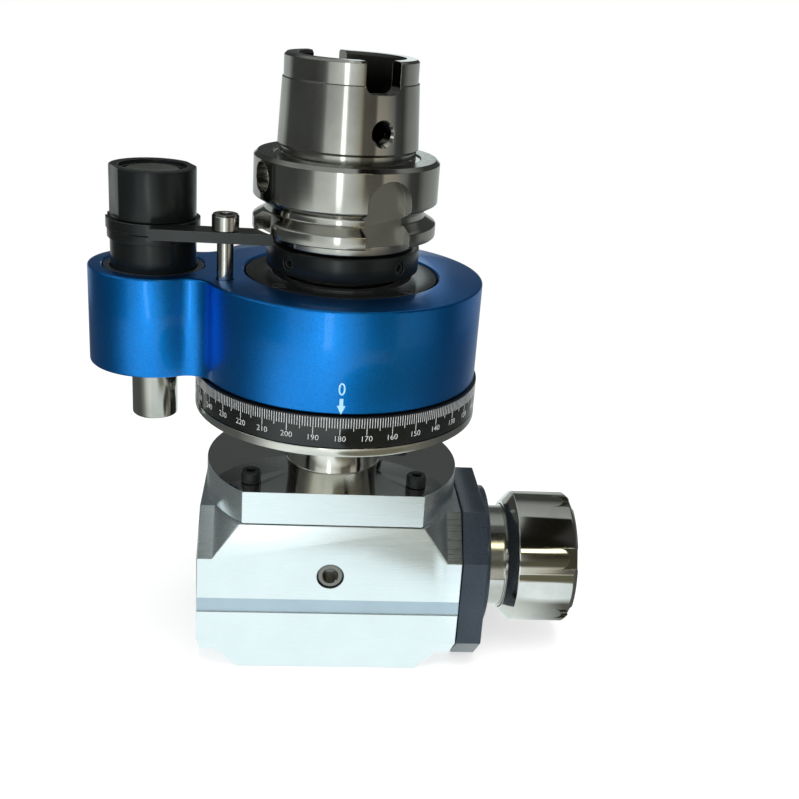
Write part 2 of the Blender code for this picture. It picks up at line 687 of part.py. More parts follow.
def make_column():
    """Bolted flange, neck, swivel disc and bearing hub."""
    low_inner = LOWER_BEARING[1] + GAP
    hub_bore = UPPER_BEARING[1] + GAP
    fillet = NECK_FILLET
    relief = LOCK_NUT_RADIUS + 0.002
    column = turn(
        "swivel_column",
        [(HUB_RADIUS, HUB_TOP), (HUB_RADIUS, DISC_TOP), (DISC_RADIUS - 0.0003, DISC_TOP),
         (DISC_RADIUS, DISC_TOP - 0.0003), (DISC_RADIUS, DISC_BOTTOM + 0.0006),
         (DISC_RADIUS - 0.0006, DISC_BOTTOM), (NECK_RADIUS + fillet, DISC_BOTTOM),
         (NECK_RADIUS, DISC_BOTTOM - fillet), (NECK_RADIUS, COLUMN_FLANGE_TOP + fillet),
         (NECK_RADIUS + fillet, COLUMN_FLANGE_TOP), (COLUMN_FLANGE_RADIUS, COLUMN_FLANGE_TOP),
         (COLUMN_FLANGE_RADIUS, COLUMN_BOTTOM), (low_inner, COLUMN_BOTTOM), (low_inner, POCKET_TOP),
         (NECK_BORE_RADIUS, POCKET_TOP), (NECK_BORE_RADIUS, DISC_TOP + HUB_RELIEF),
         (relief, DISC_TOP + HUB_RELIEF), (relief, HUB_SHOULDER),
         (hub_bore, HUB_SHOULDER), (hub_bore, HUB_TOP)],
        root, FINE)
    flats = bmesh.new()
    for side in (-1, 1):
        near, far = sorted((side * COLUMN_FLAT, side * (COLUMN_FLANGE_RADIUS + BORE_EPS)))
        add_box(flats, (-COLUMN_FLANGE_RADIUS, near, COLUMN_BOTTOM - BORE_EPS),
                (COLUMN_FLANGE_RADIUS, far, COLUMN_FLANGE_TOP + BORE_EPS))
    cut(column, cutter("column_flats", flats, root))
    drill(column, "column_flange_holes", M4, column_places(COLUMN_FLANGE_TOP),
          COLUMN_FLANGE_HEIGHT + BORE_EPS, root)
    drill(column, "column_disc_holes", M4, clamp_places(DISC_BOTTOM), DISC_HEIGHT + BORE_EPS, root)
    drill(column, "hub_screw_holes", M2_5, cover_places(HUB_TOP), COVER_THREAD_DEPTH, root)
    return finish(column, STEEL)


def cover_places(height):
    """Seats of the bearing cover screws."""
    step = 360 / COVER_SCREWS
    return [polar(COVER_SCREW_CIRCLE, (index + 0.5) * step, height) for index in range(COVER_SCREWS)]


def make_swivel_details():
    """Graduated ring, column screws, clamp ring and bolts, bearing cover and its screws."""
    ring = tube("graduated_ring", STOP_BORE_RADIUS, DISC_RADIUS, RING_BOTTOM, RING_TOP, root, FINE)
    drill(ring, "ring_holes", M4, clamp_places(RING_BOTTOM), RING_HEIGHT + BORE_EPS, root)
    finish(ring, BLACK)
    screws("column_screw", M4, COLUMN_SCREW_LENGTH - THREAD_END_ROOM, column_places(COLUMN_FLANGE_TOP + GAP),
           root, DARK)
    slot_floor = STOP_BOTTOM + T_SLOT_LIP + T_SLOT_HEIGHT
    bolt_length = slot_floor - THREAD_END_ROOM - DISC_BOTTOM + 2 * GAP
    screws("clamp_bolt", M4, bolt_length, clamp_places(DISC_BOTTOM - GAP), root, DARK)
    half = T_SLOT_WIDTH / 2 - 2 * GAP
    clamp = tube("clamp_ring", CLAMP_CIRCLE - half, CLAMP_CIRCLE + half, STOP_BOTTOM + T_SLOT_LIP + GAP,
                 slot_floor - GAP, root, FINE)
    drill(clamp, "clamp_ring_holes", M4, clamp_places(STOP_BOTTOM), T_SLOT_LIP + T_SLOT_HEIGHT + BORE_EPS,
          root)
    finish(clamp, DARK)
    cover = tube("bearing_cover", COVER_INNER_RADIUS, STOP_BORE_RADIUS - 2 * GAP, COVER_BOTTOM, COVER_TOP,
                 root, FINE)
    drill(cover, "cover_holes", M2_5, cover_places(COVER_TOP), COVER_THICKNESS + BORE_EPS, root,
          M2_5[2] + GAP)
    finish(cover, BLACK)
    reach = COVER_THREAD_DEPTH - THREAD_END_ROOM / 2
    screws("cover_screw", M2_5, reach, cover_places(COVER_TOP - M2_5[2]), root, DARK)
    seal = tube("spindle_seal", SHAFT_HEAD_RADIUS + GAP, COVER_INNER_RADIUS - GAP, COVER_BOTTOM + GAP,
                COVER_TOP - GAP, root, FINE)
    finish(seal, RUBBER)


def stop_outline(sides=FINE):
    """Big circle and lobe joined by two concave fillets, as one closed outline."""
    to_big = STOP_RADIUS + LOBE_FILLET
    to_lobe = LOBE_RADIUS + LOBE_FILLET
    fillet_x = -(to_big ** 2 - to_lobe ** 2 + LOBE_CENTRE ** 2) / (2 * LOBE_CENTRE)
    fillet_y = math.sqrt(to_big ** 2 - fillet_x ** 2)
    big_end = math.atan2(fillet_y, fillet_x)
    lobe_end = math.atan2(fillet_y, fillet_x + LOBE_CENTRE)
    points = arc((0, 0), STOP_RADIUS, -big_end, big_end, sides)[:-1]
    half = math.pi
    points += arc((fillet_x, fillet_y), LOBE_FILLET, big_end - half, lobe_end - half, FILLET_SIDES)[:-1]
    points += arc((-LOBE_CENTRE, 0), LOBE_RADIUS, lobe_end, math.tau - lobe_end, sides // 2)[:-1]
    points += arc((fillet_x, -fillet_y), LOBE_FILLET, half - lobe_end, half - big_end, FILLET_SIDES)[:-1]
    return points


def arc(centre, radius, start, end, steps):
    """Points along an arc, both ends kept."""
    points = []
    for index in range(steps + 1):
        angle = start + (end - start) * index / steps
        points.append((centre[0] + radius * math.cos(angle), centre[1] + radius * math.sin(angle)))
    return points


def make_stop_housing():
    """Swivelling stop housing with spindle bore, T-slot, pin bore and post hole."""
    housing = plate("stop_housing", stop_outline(), STOP_BOTTOM, STOP_TOP, stop_axis)
    bore = bmesh.new()
    add_rod(bore, STOP_BORE_RADIUS, STOP_BOTTOM - BORE_EPS, STOP_TOP + BORE_EPS, sides=FINE)
    cut(housing, cutter("stop_bore", bore, stop_axis))
    low = STOP_BOTTOM - BORE_EPS
    lip = STOP_BOTTOM + T_SLOT_LIP
    slot = turn(
        "t_slot",
        [(CLAMP_CIRCLE + T_SLOT_WIDTH / 2, lip + T_SLOT_HEIGHT), (CLAMP_CIRCLE + T_SLOT_WIDTH / 2, lip),
         (CLAMP_CIRCLE + T_SLOT_MOUTH / 2 + GAP, lip), (CLAMP_CIRCLE + T_SLOT_MOUTH / 2 + GAP, low),
         (CLAMP_CIRCLE - T_SLOT_MOUTH / 2 - GAP, low), (CLAMP_CIRCLE - T_SLOT_MOUTH / 2 - GAP, lip),
         (CLAMP_CIRCLE - T_SLOT_WIDTH / 2, lip), (CLAMP_CIRCLE - T_SLOT_WIDTH / 2, lip + T_SLOT_HEIGHT)],
        stop_axis, FINE, cutters)
    cut(housing, hide(slot))
    lobe = bmesh.new()
    add_rod(lobe, LOBE_BORE_RADIUS, LOBE_FLOOR_TOP, STOP_TOP + BORE_EPS)
    cut(housing, cutter("lobe_bore", lobe, sleeve_axis))
    tail = bmesh.new()
    add_rod(tail, PIN_TAIL_RADIUS + GAP, STOP_BOTTOM - BORE_EPS, LOBE_FLOOR_TOP + BORE_EPS)
    cut(housing, cutter("pin_hole", tail, sleeve_axis))
    post = bmesh.new()
    hole_floor = POST_BOTTOM - SLEEVE_TRAVEL - THREAD_END_ROOM
    place = Matrix.Translation((POST_X + LOBE_CENTRE, ARM_Y, 0))
    add_rod(post, POST_RADIUS + GAP, hole_floor, STOP_TOP + BORE_EPS, place, COARSE)
    cut(housing, cutter("post_hole", post, sleeve_axis))
    cross = bmesh.new()
    level = radial(90, STOP_BOTTOM + LOBE_FLOOR / 2) @ spun(180 / SCREW_SIDES)
    add_rod(cross, M4[0] + SCREW_CLEARANCE, PIN_TAIL_RADIUS, LOBE_RADIUS + BORE_EPS, level, SCREW_SIDES)
    cut(housing, cutter("pin_screw_hole", cross, sleeve_axis))
    finish(housing, BLUE)
    sunk = LOBE_RADIUS - 2 * SCREW_SUNK
    out = level @ Matrix.Translation((0, 0, sunk))
    length = sunk - PIN_TAIL_RADIUS - GAP
    set_screws("pin_set_screw", M4, length, [out], sleeve_axis, DARK)


def make_pin_and_sleeve():
    """Locating pin, guide bush, locking sleeve, spring, arm, post and screw."""
    pin_top = SLEEVE_TOP - PIN_TOP_DROP
    pin_bottom = STOP_BOTTOM - PIN_TAIL_LENGTH
    pin = turn(
        "locating_pin",
        [(0, pin_top), (PIN_RADIUS - 0.0008, pin_top), (PIN_RADIUS, pin_top - 0.0008),
         (PIN_RADIUS, LOBE_FLOOR_TOP + GAP), (PIN_TAIL_RADIUS, LOBE_FLOOR_TOP + GAP),
         (PIN_TAIL_RADIUS, pin_bottom + 0.001), (PIN_TAIL_RADIUS - 0.001, pin_bottom), (0, pin_bottom)],
        sleeve_axis, MEDIUM)
    finish(pin, STEEL)
    bush = tube("sleeve_bush", SLEEVE_RADIUS + GAP, LOBE_BORE_RADIUS - GAP, STOP_TOP - GAP - BUSH_LENGTH,
                STOP_TOP - GAP, sleeve_axis)
    finish(bush, DARK)
    sleeve_bore = PIN_RADIUS + GAP
    shoulder_top = ARM_BOTTOM - GAP
    sleeve = turn(
        "locking_sleeve",
        [(SLEEVE_RADIUS - 0.0004, SLEEVE_TOP), (SLEEVE_RADIUS, SLEEVE_TOP - 0.0004),
         (SLEEVE_RADIUS, ARM_TOP + GAP), (SLEEVE_GROOVE_RADIUS, ARM_TOP + GAP),
         (SLEEVE_GROOVE_RADIUS, shoulder_top), (SLEEVE_SHOULDER_RADIUS, shoulder_top),
         (SLEEVE_SHOULDER_RADIUS, shoulder_top - SLEEVE_SHOULDER_HEIGHT),
         (SLEEVE_RADIUS, shoulder_top - SLEEVE_SHOULDER_HEIGHT), (SLEEVE_RADIUS, SLEEVE_BOTTOM),
         (sleeve_bore, SLEEVE_BOTTOM), (sleeve_bore, SLEEVE_TOP - SLEEVE_MOUTH_DEPTH),
         (SLEEVE_MOUTH_RADIUS, SLEEVE_TOP - SLEEVE_MOUTH_DEPTH), (SLEEVE_MOUTH_RADIUS, SLEEVE_TOP)],
        sleeve_body, MEDIUM)
    flats = bmesh.new()
    for angle in SLEEVE_FLAT_ANGLES:
        verts = add_box(flats, (SLEEVE_FLAT, -SLEEVE_RADIUS, ARM_TOP + GAP),
                        (SLEEVE_SHOULDER_RADIUS, SLEEVE_RADIUS, SLEEVE_TOP + BORE_EPS))
        bmesh.ops.transform(flats, matrix=spun(angle), verts=verts)
    finish(cut(sleeve, cutter("sleeve_flats", flats, sleeve_body)), BLACK)
    make_spring(LOBE_FLOOR_TOP + GAP + SPRING_WIRE_RADIUS, SLEEVE_BOTTOM - GAP - SPRING_WIRE_RADIUS)
    make_arm()
    tap_floor = POST_TOP - POST_THREAD_DEPTH
    post = turn(
        "guide_post",
        [(POST_RADIUS, POST_TOP), (POST_RADIUS, POST_BOTTOM + 0.0006), (POST_RADIUS - 0.0006, POST_BOTTOM),
         (0, POST_BOTTOM), (0, tap_floor - 0.0005), (M3[0] + GAP, tap_floor), (M3[0] + GAP, POST_TOP)],
        post_axis, COARSE)
    finish(post, STEEL)
    reach = ARM_THICKNESS + GAP + POST_THREAD_DEPTH - THREAD_END_ROOM
    screws("arm_screw", ARM_SCREW, reach, [Matrix.Translation((0, 0, ARM_TOP + GAP))], post_axis, STEEL)


def make_spring(low, high):
    """Compression spring round the pin, under the sleeve."""
    per_turn = SPRING_SIDES
    count = SPRING_TURNS * per_turn
    curve = bpy.data.curves.new("return_spring", "CURVE")
    curve.dimensions = "3D"
    curve.bevel_depth = SPRING_WIRE_RADIUS
    curve.bevel_resolution = 1
    curve.use_fill_caps = True
    spline = curve.splines.new("POLY")
    spline.points.add(count)
    for index, point in enumerate(spline.points):
        angle = math.tau * index / per_turn
        rise = low + (high - low) * index / count
        point.co = (SPRING_RADIUS * math.cos(angle), SPRING_RADIUS * math.sin(angle), rise, 1)
    blank = make_object("return_spring_wire", curve, None)
    finish(realise(blank, "return_spring", sleeve_axis), STEEL)


def make_arm():
    """Split ring on the sleeve with a flat bar that reaches the shank flange."""
    ring = bmesh.new()
    add_rod(ring, ARM_RING_RADIUS, ARM_BOTTOM, ARM_TOP, sides=MEDIUM)
    arm = make_object("locking_arm", mesh_from(ring, "locking_arm"), sleeve_body)
    bar = bmesh.new()
    add_box(bar, (0.001, ARM_Y - ARM_WIDTH / 2, ARM_BOTTOM), (LOBE_CENTRE, ARM_Y + ARM_WIDTH / 2, ARM_TOP))
    cut(arm, cutter("arm_bar", bar, sleeve_body), "UNION")
    bores = bmesh.new()
    add_rod(bores, SLEEVE_GROOVE_RADIUS + GAP, ARM_BOTTOM - BORE_EPS, ARM_TOP + BORE_EPS, sides=MEDIUM)
    cut(arm, cutter("arm_ring_bore", bores, sleeve_body))
    split = bmesh.new()
    add_box(split, (-LOBE_RADIUS, -ARM_SPLIT / 2, ARM_BOTTOM - BORE_EPS),
            (0, ARM_SPLIT / 2, ARM_TOP + BORE_EPS))
    cut(arm, cutter("arm_split", split, sleeve_body))
    tip = bmesh.new()
    add_rod(tip, FLANGE_RADIUS + TONGUE_CLEARANCE, ARM_BOTTOM - BORE_EPS, ARM_TOP + BORE_EPS,
            Matrix.Translation((LOBE_CENTRE, 0, 0)), FINE * 2)
    cut(arm, cutter("arm_tip_relief", tip, sleeve_body))
    hole = bmesh.new()
    add_rod(hole, M3[0] + GAP, ARM_BOTTOM - BORE_EPS, ARM_TOP + BORE_EPS,
            Matrix.Translation((POST_X + LOBE_CENTRE, ARM_Y, 0)), SCREW_SIDES)
    cut(arm, cutter("arm_screw_hole", hole, sleeve_body))
    finish(arm, BLACK)


def shank_profile():
    """Half section of the hollow taper shank, outer side first."""
    groove_top = FLANGE_FACE - GRIP_GROOVE_CENTRE + GRIP_GROOVE_HALF
    groove_low = FLANGE_FACE - GRIP_GROOVE_CENTRE - GRIP_GROOVE_HALF
    flank = GRIP_GROOVE_DEPTH * math.tan(math.radians(30))
    groove_radius = FLANGE_RADIUS - GRIP_GROOVE_DEPTH
    relief = SHANK_TOP - 0.0075
    outer = [
        (TAPER_TOP_RADIUS - 0.0009, SHANK_TOP), (TAPER_TOP_RADIUS - 0.0001, SHANK_TOP - 0.0008),
        (TAPER_TOP_RADIUS - 0.0001, relief), (TAPER_TOP_RADIUS + 0.00035, relief - 0.0006),
        (TAPER_RADIUS - 0.0002, FLANGE_FACE + 0.0032), (TAPER_RADIUS - 0.0009, FLANGE_FACE + 0.0024),
        (TAPER_RADIUS - 0.0009, FLANGE_FACE - 0.0005), (TAPER_RADIUS + 0.0006, FLANGE_FACE - 0.0005),
        (TAPER_RADIUS + 0.0010, FLANGE_FACE), (FLANGE_RADIUS - 0.0013, FLANGE_FACE),
        (FLANGE_RADIUS, FLANGE_FACE - 0.0013), (FLANGE_RADIUS, groove_top),
        (groove_radius, groove_top - flank), (groove_radius, groove_low + flank),
        (FLANGE_RADIUS, groove_low), (FLANGE_RADIUS, FLANGE_BOTTOM + 0.0008),
        (FLANGE_RADIUS - 0.0008, FLANGE_BOTTOM), (SKIRT_RADIUS, FLANGE_BOTTOM),
        (SKIRT_RADIUS, SKIRT_BOTTOM),
    ]
    spigot_bore = SPIGOT_RADIUS + GAP
    spigot_top = SHAFT_TOP + SPIGOT_LENGTH + GAP
    floor = FLANGE_FACE + BORE_FLOOR
    shoulder = FLANGE_FACE + CLAMP_SHOULDER
    inner = [
        (spigot_bore, SKIRT_BOTTOM), (spigot_bore, spigot_top), (M8[0] + GAP, spigot_top),
        (M8[0] + GAP, floor), (CLAMP_GROOVE_RADIUS - 0.001, floor),
        (CLAMP_GROOVE_RADIUS, floor + 0.001), (CLAMP_GROOVE_RADIUS, shoulder),
        (BORE_RADIUS, shoulder + CLAMP_SHOULDER_RISE), (BORE_RADIUS, SHANK_TOP - 0.0010),
        (BORE_RADIUS + 0.0010, SHANK_TOP),
    ]
    return outer + inner


def round_slot(name, width, start, end, floor, top, angle, frame):
    """A cutter for a slot sunk radially, round at its start height and open at its end height."""
    side = 1 if end < start else -1
    outline = arc((-start, 0), width / 2, side * math.pi / 2, side * math.pi * 1.5, SLOT_SIDES)
    outline += [(-end, -side * width / 2), (-end, side * width / 2)]
    slot = hide(plate(name, outline, floor, top, frame, cutters))
    slot.data.transform(radial(angle, 0))
    return slot


def make_shank():
    """Hollow taper shank with drive slots, radial holes and flange notches."""
    shank = turn("taper_shank", shank_profile(), input_body, SHANK_SIDES)
    slots = bmesh.new()
    for angle in (KEY_ANGLE, KEY_ANGLE + 180):
        verts = add_box(slots, (BORE_RADIUS * 0.6, -KEY_WIDTH / 2, SHANK_TOP - KEY_DEPTH),
                        (FLANGE_RADIUS, KEY_WIDTH / 2, SHANK_TOP + KEY_DEPTH))
        edges = {edge for vert in verts for edge in vert.link_edges}
        floor = SHANK_TOP - KEY_DEPTH + BORE_EPS
        low = [edge for edge in edges if all(vert.co.z < floor for vert in edge.verts)
               and abs(edge.verts[0].co.y - edge.verts[1].co.y) < BORE_EPS]
        rounded = bmesh.ops.bevel(slots, geom=low, offset=0.003, segments=3, affect="EDGES", profile=0.5)
        body = set(rounded["verts"]) | {vert for vert in verts if vert.is_valid}
        bmesh.ops.transform(slots, matrix=spun(angle), verts=list(body))
    cut(shank, cutter("drive_slots", slots, input_body))
    side = bmesh.new()
    for angle in (KEY_ANGLE, KEY_ANGLE + 180):
        add_rod(side, RADIAL_HOLE_RADIUS, BORE_RADIUS * 0.8, FLANGE_RADIUS,
                radial(angle, FLANGE_FACE + RADIAL_HOLE_HEIGHT), COARSE)
    add_rod(side, CHIP_HOLE_RADIUS, FLANGE_RADIUS - CHIP_HOLE_DEPTH, FLANGE_RADIUS + BORE_EPS,
            radial(LOCK_NOTCH_ANGLE, FLANGE_FACE - CHIP_HOLE_DROP), COARSE)
    cut(shank, cutter("radial_holes", side, input_body))
    arch = FLANGE_FACE - NOTCH_TOP - NOTCH_WIDTH / 2
    for index, angle in enumerate((KEY_ANGLE, KEY_ANGLE + 180)):
        notch = round_slot(f"gripper_notch_{index}", NOTCH_WIDTH, arch, FLANGE_BOTTOM - BORE_EPS, NOTCH_FLAT,
                           FLANGE_RADIUS + BORE_EPS, angle, input_body)
        cut(shank, notch)
    lock = bmesh.new()
    verts = add_box(lock, (LOCK_NOTCH_FLAT, -LOCK_NOTCH_WIDTH / 2, FLANGE_BOTTOM - BORE_EPS),
                    (FLANGE_RADIUS + BORE_EPS, LOCK_NOTCH_WIDTH / 2, FLANGE_FACE - GRIP_GROOVE_CENTRE))
    bmesh.ops.transform(lock, matrix=spun(LOCK_NOTCH_ANGLE), verts=verts)
    cut(shank, cutter("lock_notch", lock, input_body))
    finish(shank, STEEL)


def make_input_shaft():
    """Input shaft, collar with set screws, draw screw, lock nut and gear nut."""
    journal = UPPER_BEARING[0] - GAP
    low_journal = LOWER_BEARING[0] - GAP
    nut_low = HUB_SHOULDER - LOCK_NUT_HEIGHT
    thread_top = AXIS_HEIGHT + GEAR_FRONT
    shaft_end = AXIS_HEIGHT + GEAR_NUT_FRONT - 0.0005
    bore = M8[0] + GAP
    tap_floor = SHAFT_TOP - SHAFT_TAP_DEPTH
    shaft = turn(
        "input_shaft",
        [(SPIGOT_RADIUS, SHAFT_TOP + SPIGOT_LENGTH), (SPIGOT_RADIUS, SHAFT_TOP),
         (SHAFT_HEAD_RADIUS, SHAFT_TOP), (SHAFT_HEAD_RADIUS, HUB_TOP + GAP),
         (journal, HUB_TOP + GAP), (journal, nut_low - GAP), (low_journal, nut_low - GAP),
         (low_journal, thread_top), (SHAFT_THREAD_RADIUS, thread_top), (SHAFT_THREAD_RADIUS, shaft_end),
         (0, shaft_end), (0, tap_floor - SHAFT_TAP_POINT), (bore, tap_floor),
         (bore, SHAFT_TOP + SPIGOT_LENGTH)],
        input_body, MEDIUM)
    finish(shaft, STEEL)
    collar_top = SHAFT_TOP - GAP
    collar = tube("spindle_collar", SHAFT_HEAD_RADIUS + GAP, COLLAR_RADIUS, collar_top - COLLAR_HEIGHT,
                  collar_top, input_body, FINE)
    side = bmesh.new()
    middle = collar_top - COLLAR_HEIGHT / 2
    for angle in COLLAR_SCREW_ANGLES:
        add_rod(side, M4[0] + GAP, SHAFT_HEAD_RADIUS, COLLAR_RADIUS + BORE_EPS, radial(angle, middle),
                SCREW_SIDES)
    finish(cut(collar, cutter("collar_holes", side, input_body)), BLACK)
    sunk = COLLAR_RADIUS - SCREW_SUNK
    places = [radial(angle, middle) @ Matrix.Translation((0, 0, sunk)) for angle in COLLAR_SCREW_ANGLES]
    set_screws("collar_screw", M4, sunk - SHAFT_HEAD_RADIUS - GAP, places, input_body, DARK)
    head = Matrix.Translation((0, 0, FLANGE_FACE + BORE_FLOOR + GAP))
    reach = FLANGE_FACE + BORE_FLOOR - SHAFT_TOP + DRAW_SCREW_REACH
    screws("draw_screw", M8, reach, [head], input_body, DARK)
    finish(tube("shaft_lock_nut", UPPER_BEARING[0], LOCK_NUT_RADIUS, nut_low, HUB_SHOULDER - GAP / 2,
                input_body), DARK)
    finish(tube("input_gear_nut", SHAFT_THREAD_RADIUS + GAP, GEAR_NUT_FRONT - GAP,
                AXIS_HEIGHT + GEAR_NUT_FRONT, AXIS_HEIGHT + GEAR_FRONT - GAP, input_body, COARSE), DARK)


def taper_radius(station):
    """Radius of the collet seat at a station along the output axis."""
    return COLLET_SEAT_RADIUS - (CHUCK_FACE - station) * math.tan(math.radians(COLLET_ANGLE))


def make_chuck():
    """Output spindle with its collet seat, and the nut that holds its gear."""
    journal = OUTPUT_BEARING[0] - GAP
    rear = REAR_BEARING[0] - GAP
    gear_seat = GEAR_SEAT_RADIUS
    shaft_end = REAR_START - 0.0009
    seat_end = COLLET_TAIL - 0.001
    relief = COLLET_BORE_RADIUS + 0.0005
    chuck = turn(
        "collet_chuck",
        [(COLLET_SEAT_RADIUS, CHUCK_FACE), (THREAD_RADIUS - 0.0006, CHUCK_FACE),
         (THREAD_RADIUS, CHUCK_FACE - 0.0006), (THREAD_RADIUS, THREAD_START),
         (CHUCK_RADIUS, THREAD_START), (CHUCK_RADIUS, CHUCK_COLLAR_START),
         (CHUCK_SEAL_RADIUS, CHUCK_COLLAR_START), (CHUCK_SEAL_RADIUS, HOUSING_END),
         (journal, HOUSING_END), (journal, OUTPUT_START - GAP / 2), (gear_seat, OUTPUT_START - GAP / 2),
         (gear_seat, GEAR_FRONT), (rear, GEAR_FRONT), (rear, shaft_end + 0.0006),
         (rear - 0.0006, shaft_end), (0, shaft_end), (0, seat_end - 0.007), (relief, seat_end - 0.003),
         (relief, seat_end), (taper_radius(seat_end), seat_end)],
        chuck_body, MEDIUM)
    flats = bmesh.new()
    for side in (-1, 1):
        near, far = sorted((side * CHUCK_FLATS, side * NUT_RADIUS))
        verts = add_box(flats, (-NUT_RADIUS, near, RIM_OUT + 0.0012), (NUT_RADIUS, far, THREAD_START))
        bmesh.ops.transform(flats, matrix=spun(NUT_NOTCH_ANGLE - 90), verts=verts)
    cut(chuck, cutter("spanner_flats", flats, chuck_body))
    finish(chuck, STEEL)
    finish(tube("output_gear_nut", REAR_BEARING[0], GEAR_NUT_FRONT + GEAR_NUT_THICKNESS - GAP, GEAR_NUT_FRONT,
                GEAR_FRONT - GAP, chuck_body, COARSE), DARK)


def make_output_plate():
    """Octagonal bearing plate with a round rim, its screws and the shaft seal."""
    cover = plate("output_plate", octagon(), PLATE_IN, PLATE_OUT, output_axis)
    rim = bmesh.new()
    add_rod(rim, RIM_RADIUS, PLATE_IN + PLATE_THICKNESS / 2, RIM_OUT, sides=FINE)
    cut(cover, cutter("output_rim", rim, output_axis), "UNION")
    seal_radius = CHUCK_SEAL_RADIUS + 0.0025
    bore = turn(
        "output_bore",
        [(0, RIM_OUT + BORE_EPS), (CHUCK_RADIUS + 0.0005, RIM_OUT + BORE_EPS),
         (CHUCK_RADIUS + 0.0005, SEAL_END), (seal_radius, SEAL_END), (seal_radius, PLATE_IN - BORE_EPS),
         (0, PLATE_IN - BORE_EPS)],
        output_axis, MEDIUM, cutters)
    cut(cover, hide(bore))
    drill(cover, "plate_holes", M4, plate_places(PLATE_OUT), PLATE_THICKNESS + BORE_EPS, output_axis,
          M4[2] + GAP)
    finish(cover, DARK)
    screws("plate_screw", M4, PLATE_SCREW_LENGTH, plate_places(PLATE_OUT - M4[2]), output_axis, DARK)
    seal = tube("output_seal", CHUCK_SEAL_RADIUS + GAP, seal_radius - GAP, PLATE_IN + GAP, SEAL_END - GAP,
                output_axis)
    finish(seal, RUBBER)


def make_end_cover():
    """Recessed cover that carries the rear bearing."""
    pocket = REAR_BEARING[1] + GAP
    spigot = CAVITY_RADIUS
    outer_face = -HOUSING_END + GAP
    inner_face = COVER_POCKET - GAP
    cover = turn(
        "end_cover",
        [(spigot, COVER_SPIGOT_END), (spigot, inner_face), (COVER_PLATE_RADIUS, inner_face),
         (COVER_PLATE_RADIUS, outer_face), (0, outer_face), (0, REAR_START - 0.0019),
         (pocket - 0.003, REAR_START - 0.0019), (pocket - 0.003, REAR_START - GAP),
         (pocket, REAR_START - GAP), (pocket, COVER_SPIGOT_END)],
        output_axis, MEDIUM)
    spanner = bmesh.new()
    for index in range(PIN_HOLES):
        place = polar(PIN_HOLE_CIRCLE, 90 + index * 360 / PIN_HOLES)
        add_rod(spanner, PIN_HOLE_RADIUS, outer_face - BORE_EPS, outer_face + PIN_HOLE_DEPTH, place, COARSE)
    cut(cover, cutter("face_spanner_holes", spanner, output_axis))
    finish(cover, NICKEL)


def make_collet_and_nut():
    """Slotted spring collet and the clamping nut with its spanner notches."""
    front_radius = NUT_MOUTH_RADIUS - 0.0012
    shoulder = CHUCK_FACE + 0.0004
    groove = COLLET_SEAT_RADIUS - 0.0018
    head = COLLET_SEAT_RADIUS - GAP
    collet = turn(
        "spring_collet",
        [(front_radius, COLLET_FACE), (head, COLLET_FACE - 0.0043), (head, COLLET_FACE - 0.0049),
         (groove, COLLET_FACE - 0.0049), (groove, shoulder), (head, shoulder),
         (taper_radius(COLLET_TAIL) - GAP, COLLET_TAIL), (COLLET_BORE_RADIUS, COLLET_TAIL),
         (COLLET_BORE_RADIUS, COLLET_FACE)],
        collet_body, MEDIUM)
    slits = bmesh.new()
    for index in range(COLLET_SLITS):
        verts = add_box(slits, (COLLET_BORE_RADIUS * 0.7, -SLIT_WIDTH / 2, COLLET_TAIL + 0.006),
                        (NUT_RADIUS, SLIT_WIDTH / 2, COLLET_FACE + BORE_EPS))
        bmesh.ops.transform(slits, matrix=spun(15 + index * 360 / COLLET_SLITS), verts=verts)
    cut(collet, cutter("collet_front_slits", slits, collet_body))
    back_slits = bmesh.new()
    for index in range(COLLET_SLITS):
        verts = add_box(back_slits, (COLLET_BORE_RADIUS * 0.7, -SLIT_WIDTH / 2, COLLET_TAIL - BORE_EPS),
                        (NUT_RADIUS, SLIT_WIDTH / 2, COLLET_FACE - 0.009))
        bmesh.ops.transform(back_slits, matrix=spun(45 + index * 360 / COLLET_SLITS), verts=verts)
    cut(collet, cutter("collet_back_slits", back_slits, collet_body))
    finish(collet, STEEL)
    thread = THREAD_RADIUS + GAP
    mouth = COLLET_SEAT_RADIUS + 0.0006
    nut = turn(
        "collet_nut",
        [(NUT_RADIUS - 0.0014, NUT_FACE), (NUT_RADIUS, NUT_FACE - 0.0017),
         (NUT_RADIUS, NUT_BACK + NUT_CONE_LENGTH), (NUT_CONE_RADIUS, NUT_BACK), (thread, NUT_BACK),
         (thread, CHUCK_FACE + GAP), (mouth, CHUCK_FACE + GAP), (mouth, COLLET_FACE - 0.0040),
         (NUT_MOUTH_RADIUS, COLLET_FACE + 0.0002), (NUT_MOUTH_RADIUS, NUT_FACE)],
        nut_body, FINE)
    stop = NUT_FACE - NUT_NOTCH_LENGTH + NUT_NOTCH_WIDTH / 2
    for index in range(NUT_NOTCHES):
        angle = NUT_NOTCH_ANGLE + index * 360 / NUT_NOTCHES
        notch = round_slot(f"nut_notch_{index}", NUT_NOTCH_WIDTH, stop, NUT_FACE + BORE_EPS,
                           NUT_RADIUS - NUT_NOTCH_DEPTH, NUT_RADIUS + BORE_EPS, angle, nut_body)
        cut(nut, notch)
    finish(nut, STEEL)


def make_plug():
    """Threaded plug in the front face."""
    out = Matrix.Translation((0, 0, PLUG_HEIGHT)) @ Matrix.Rotation(math.radians(90), 4, "X")
    place = out @ Matrix.Translation((0, 0, HALF_DEPTH - SCREW_SUNK))
    set_screws("front_plug", (PLUG_RADIUS, 0, 0, PLUG_SOCKET_RADIUS), PLUG_LENGTH, [place], root, DARK)


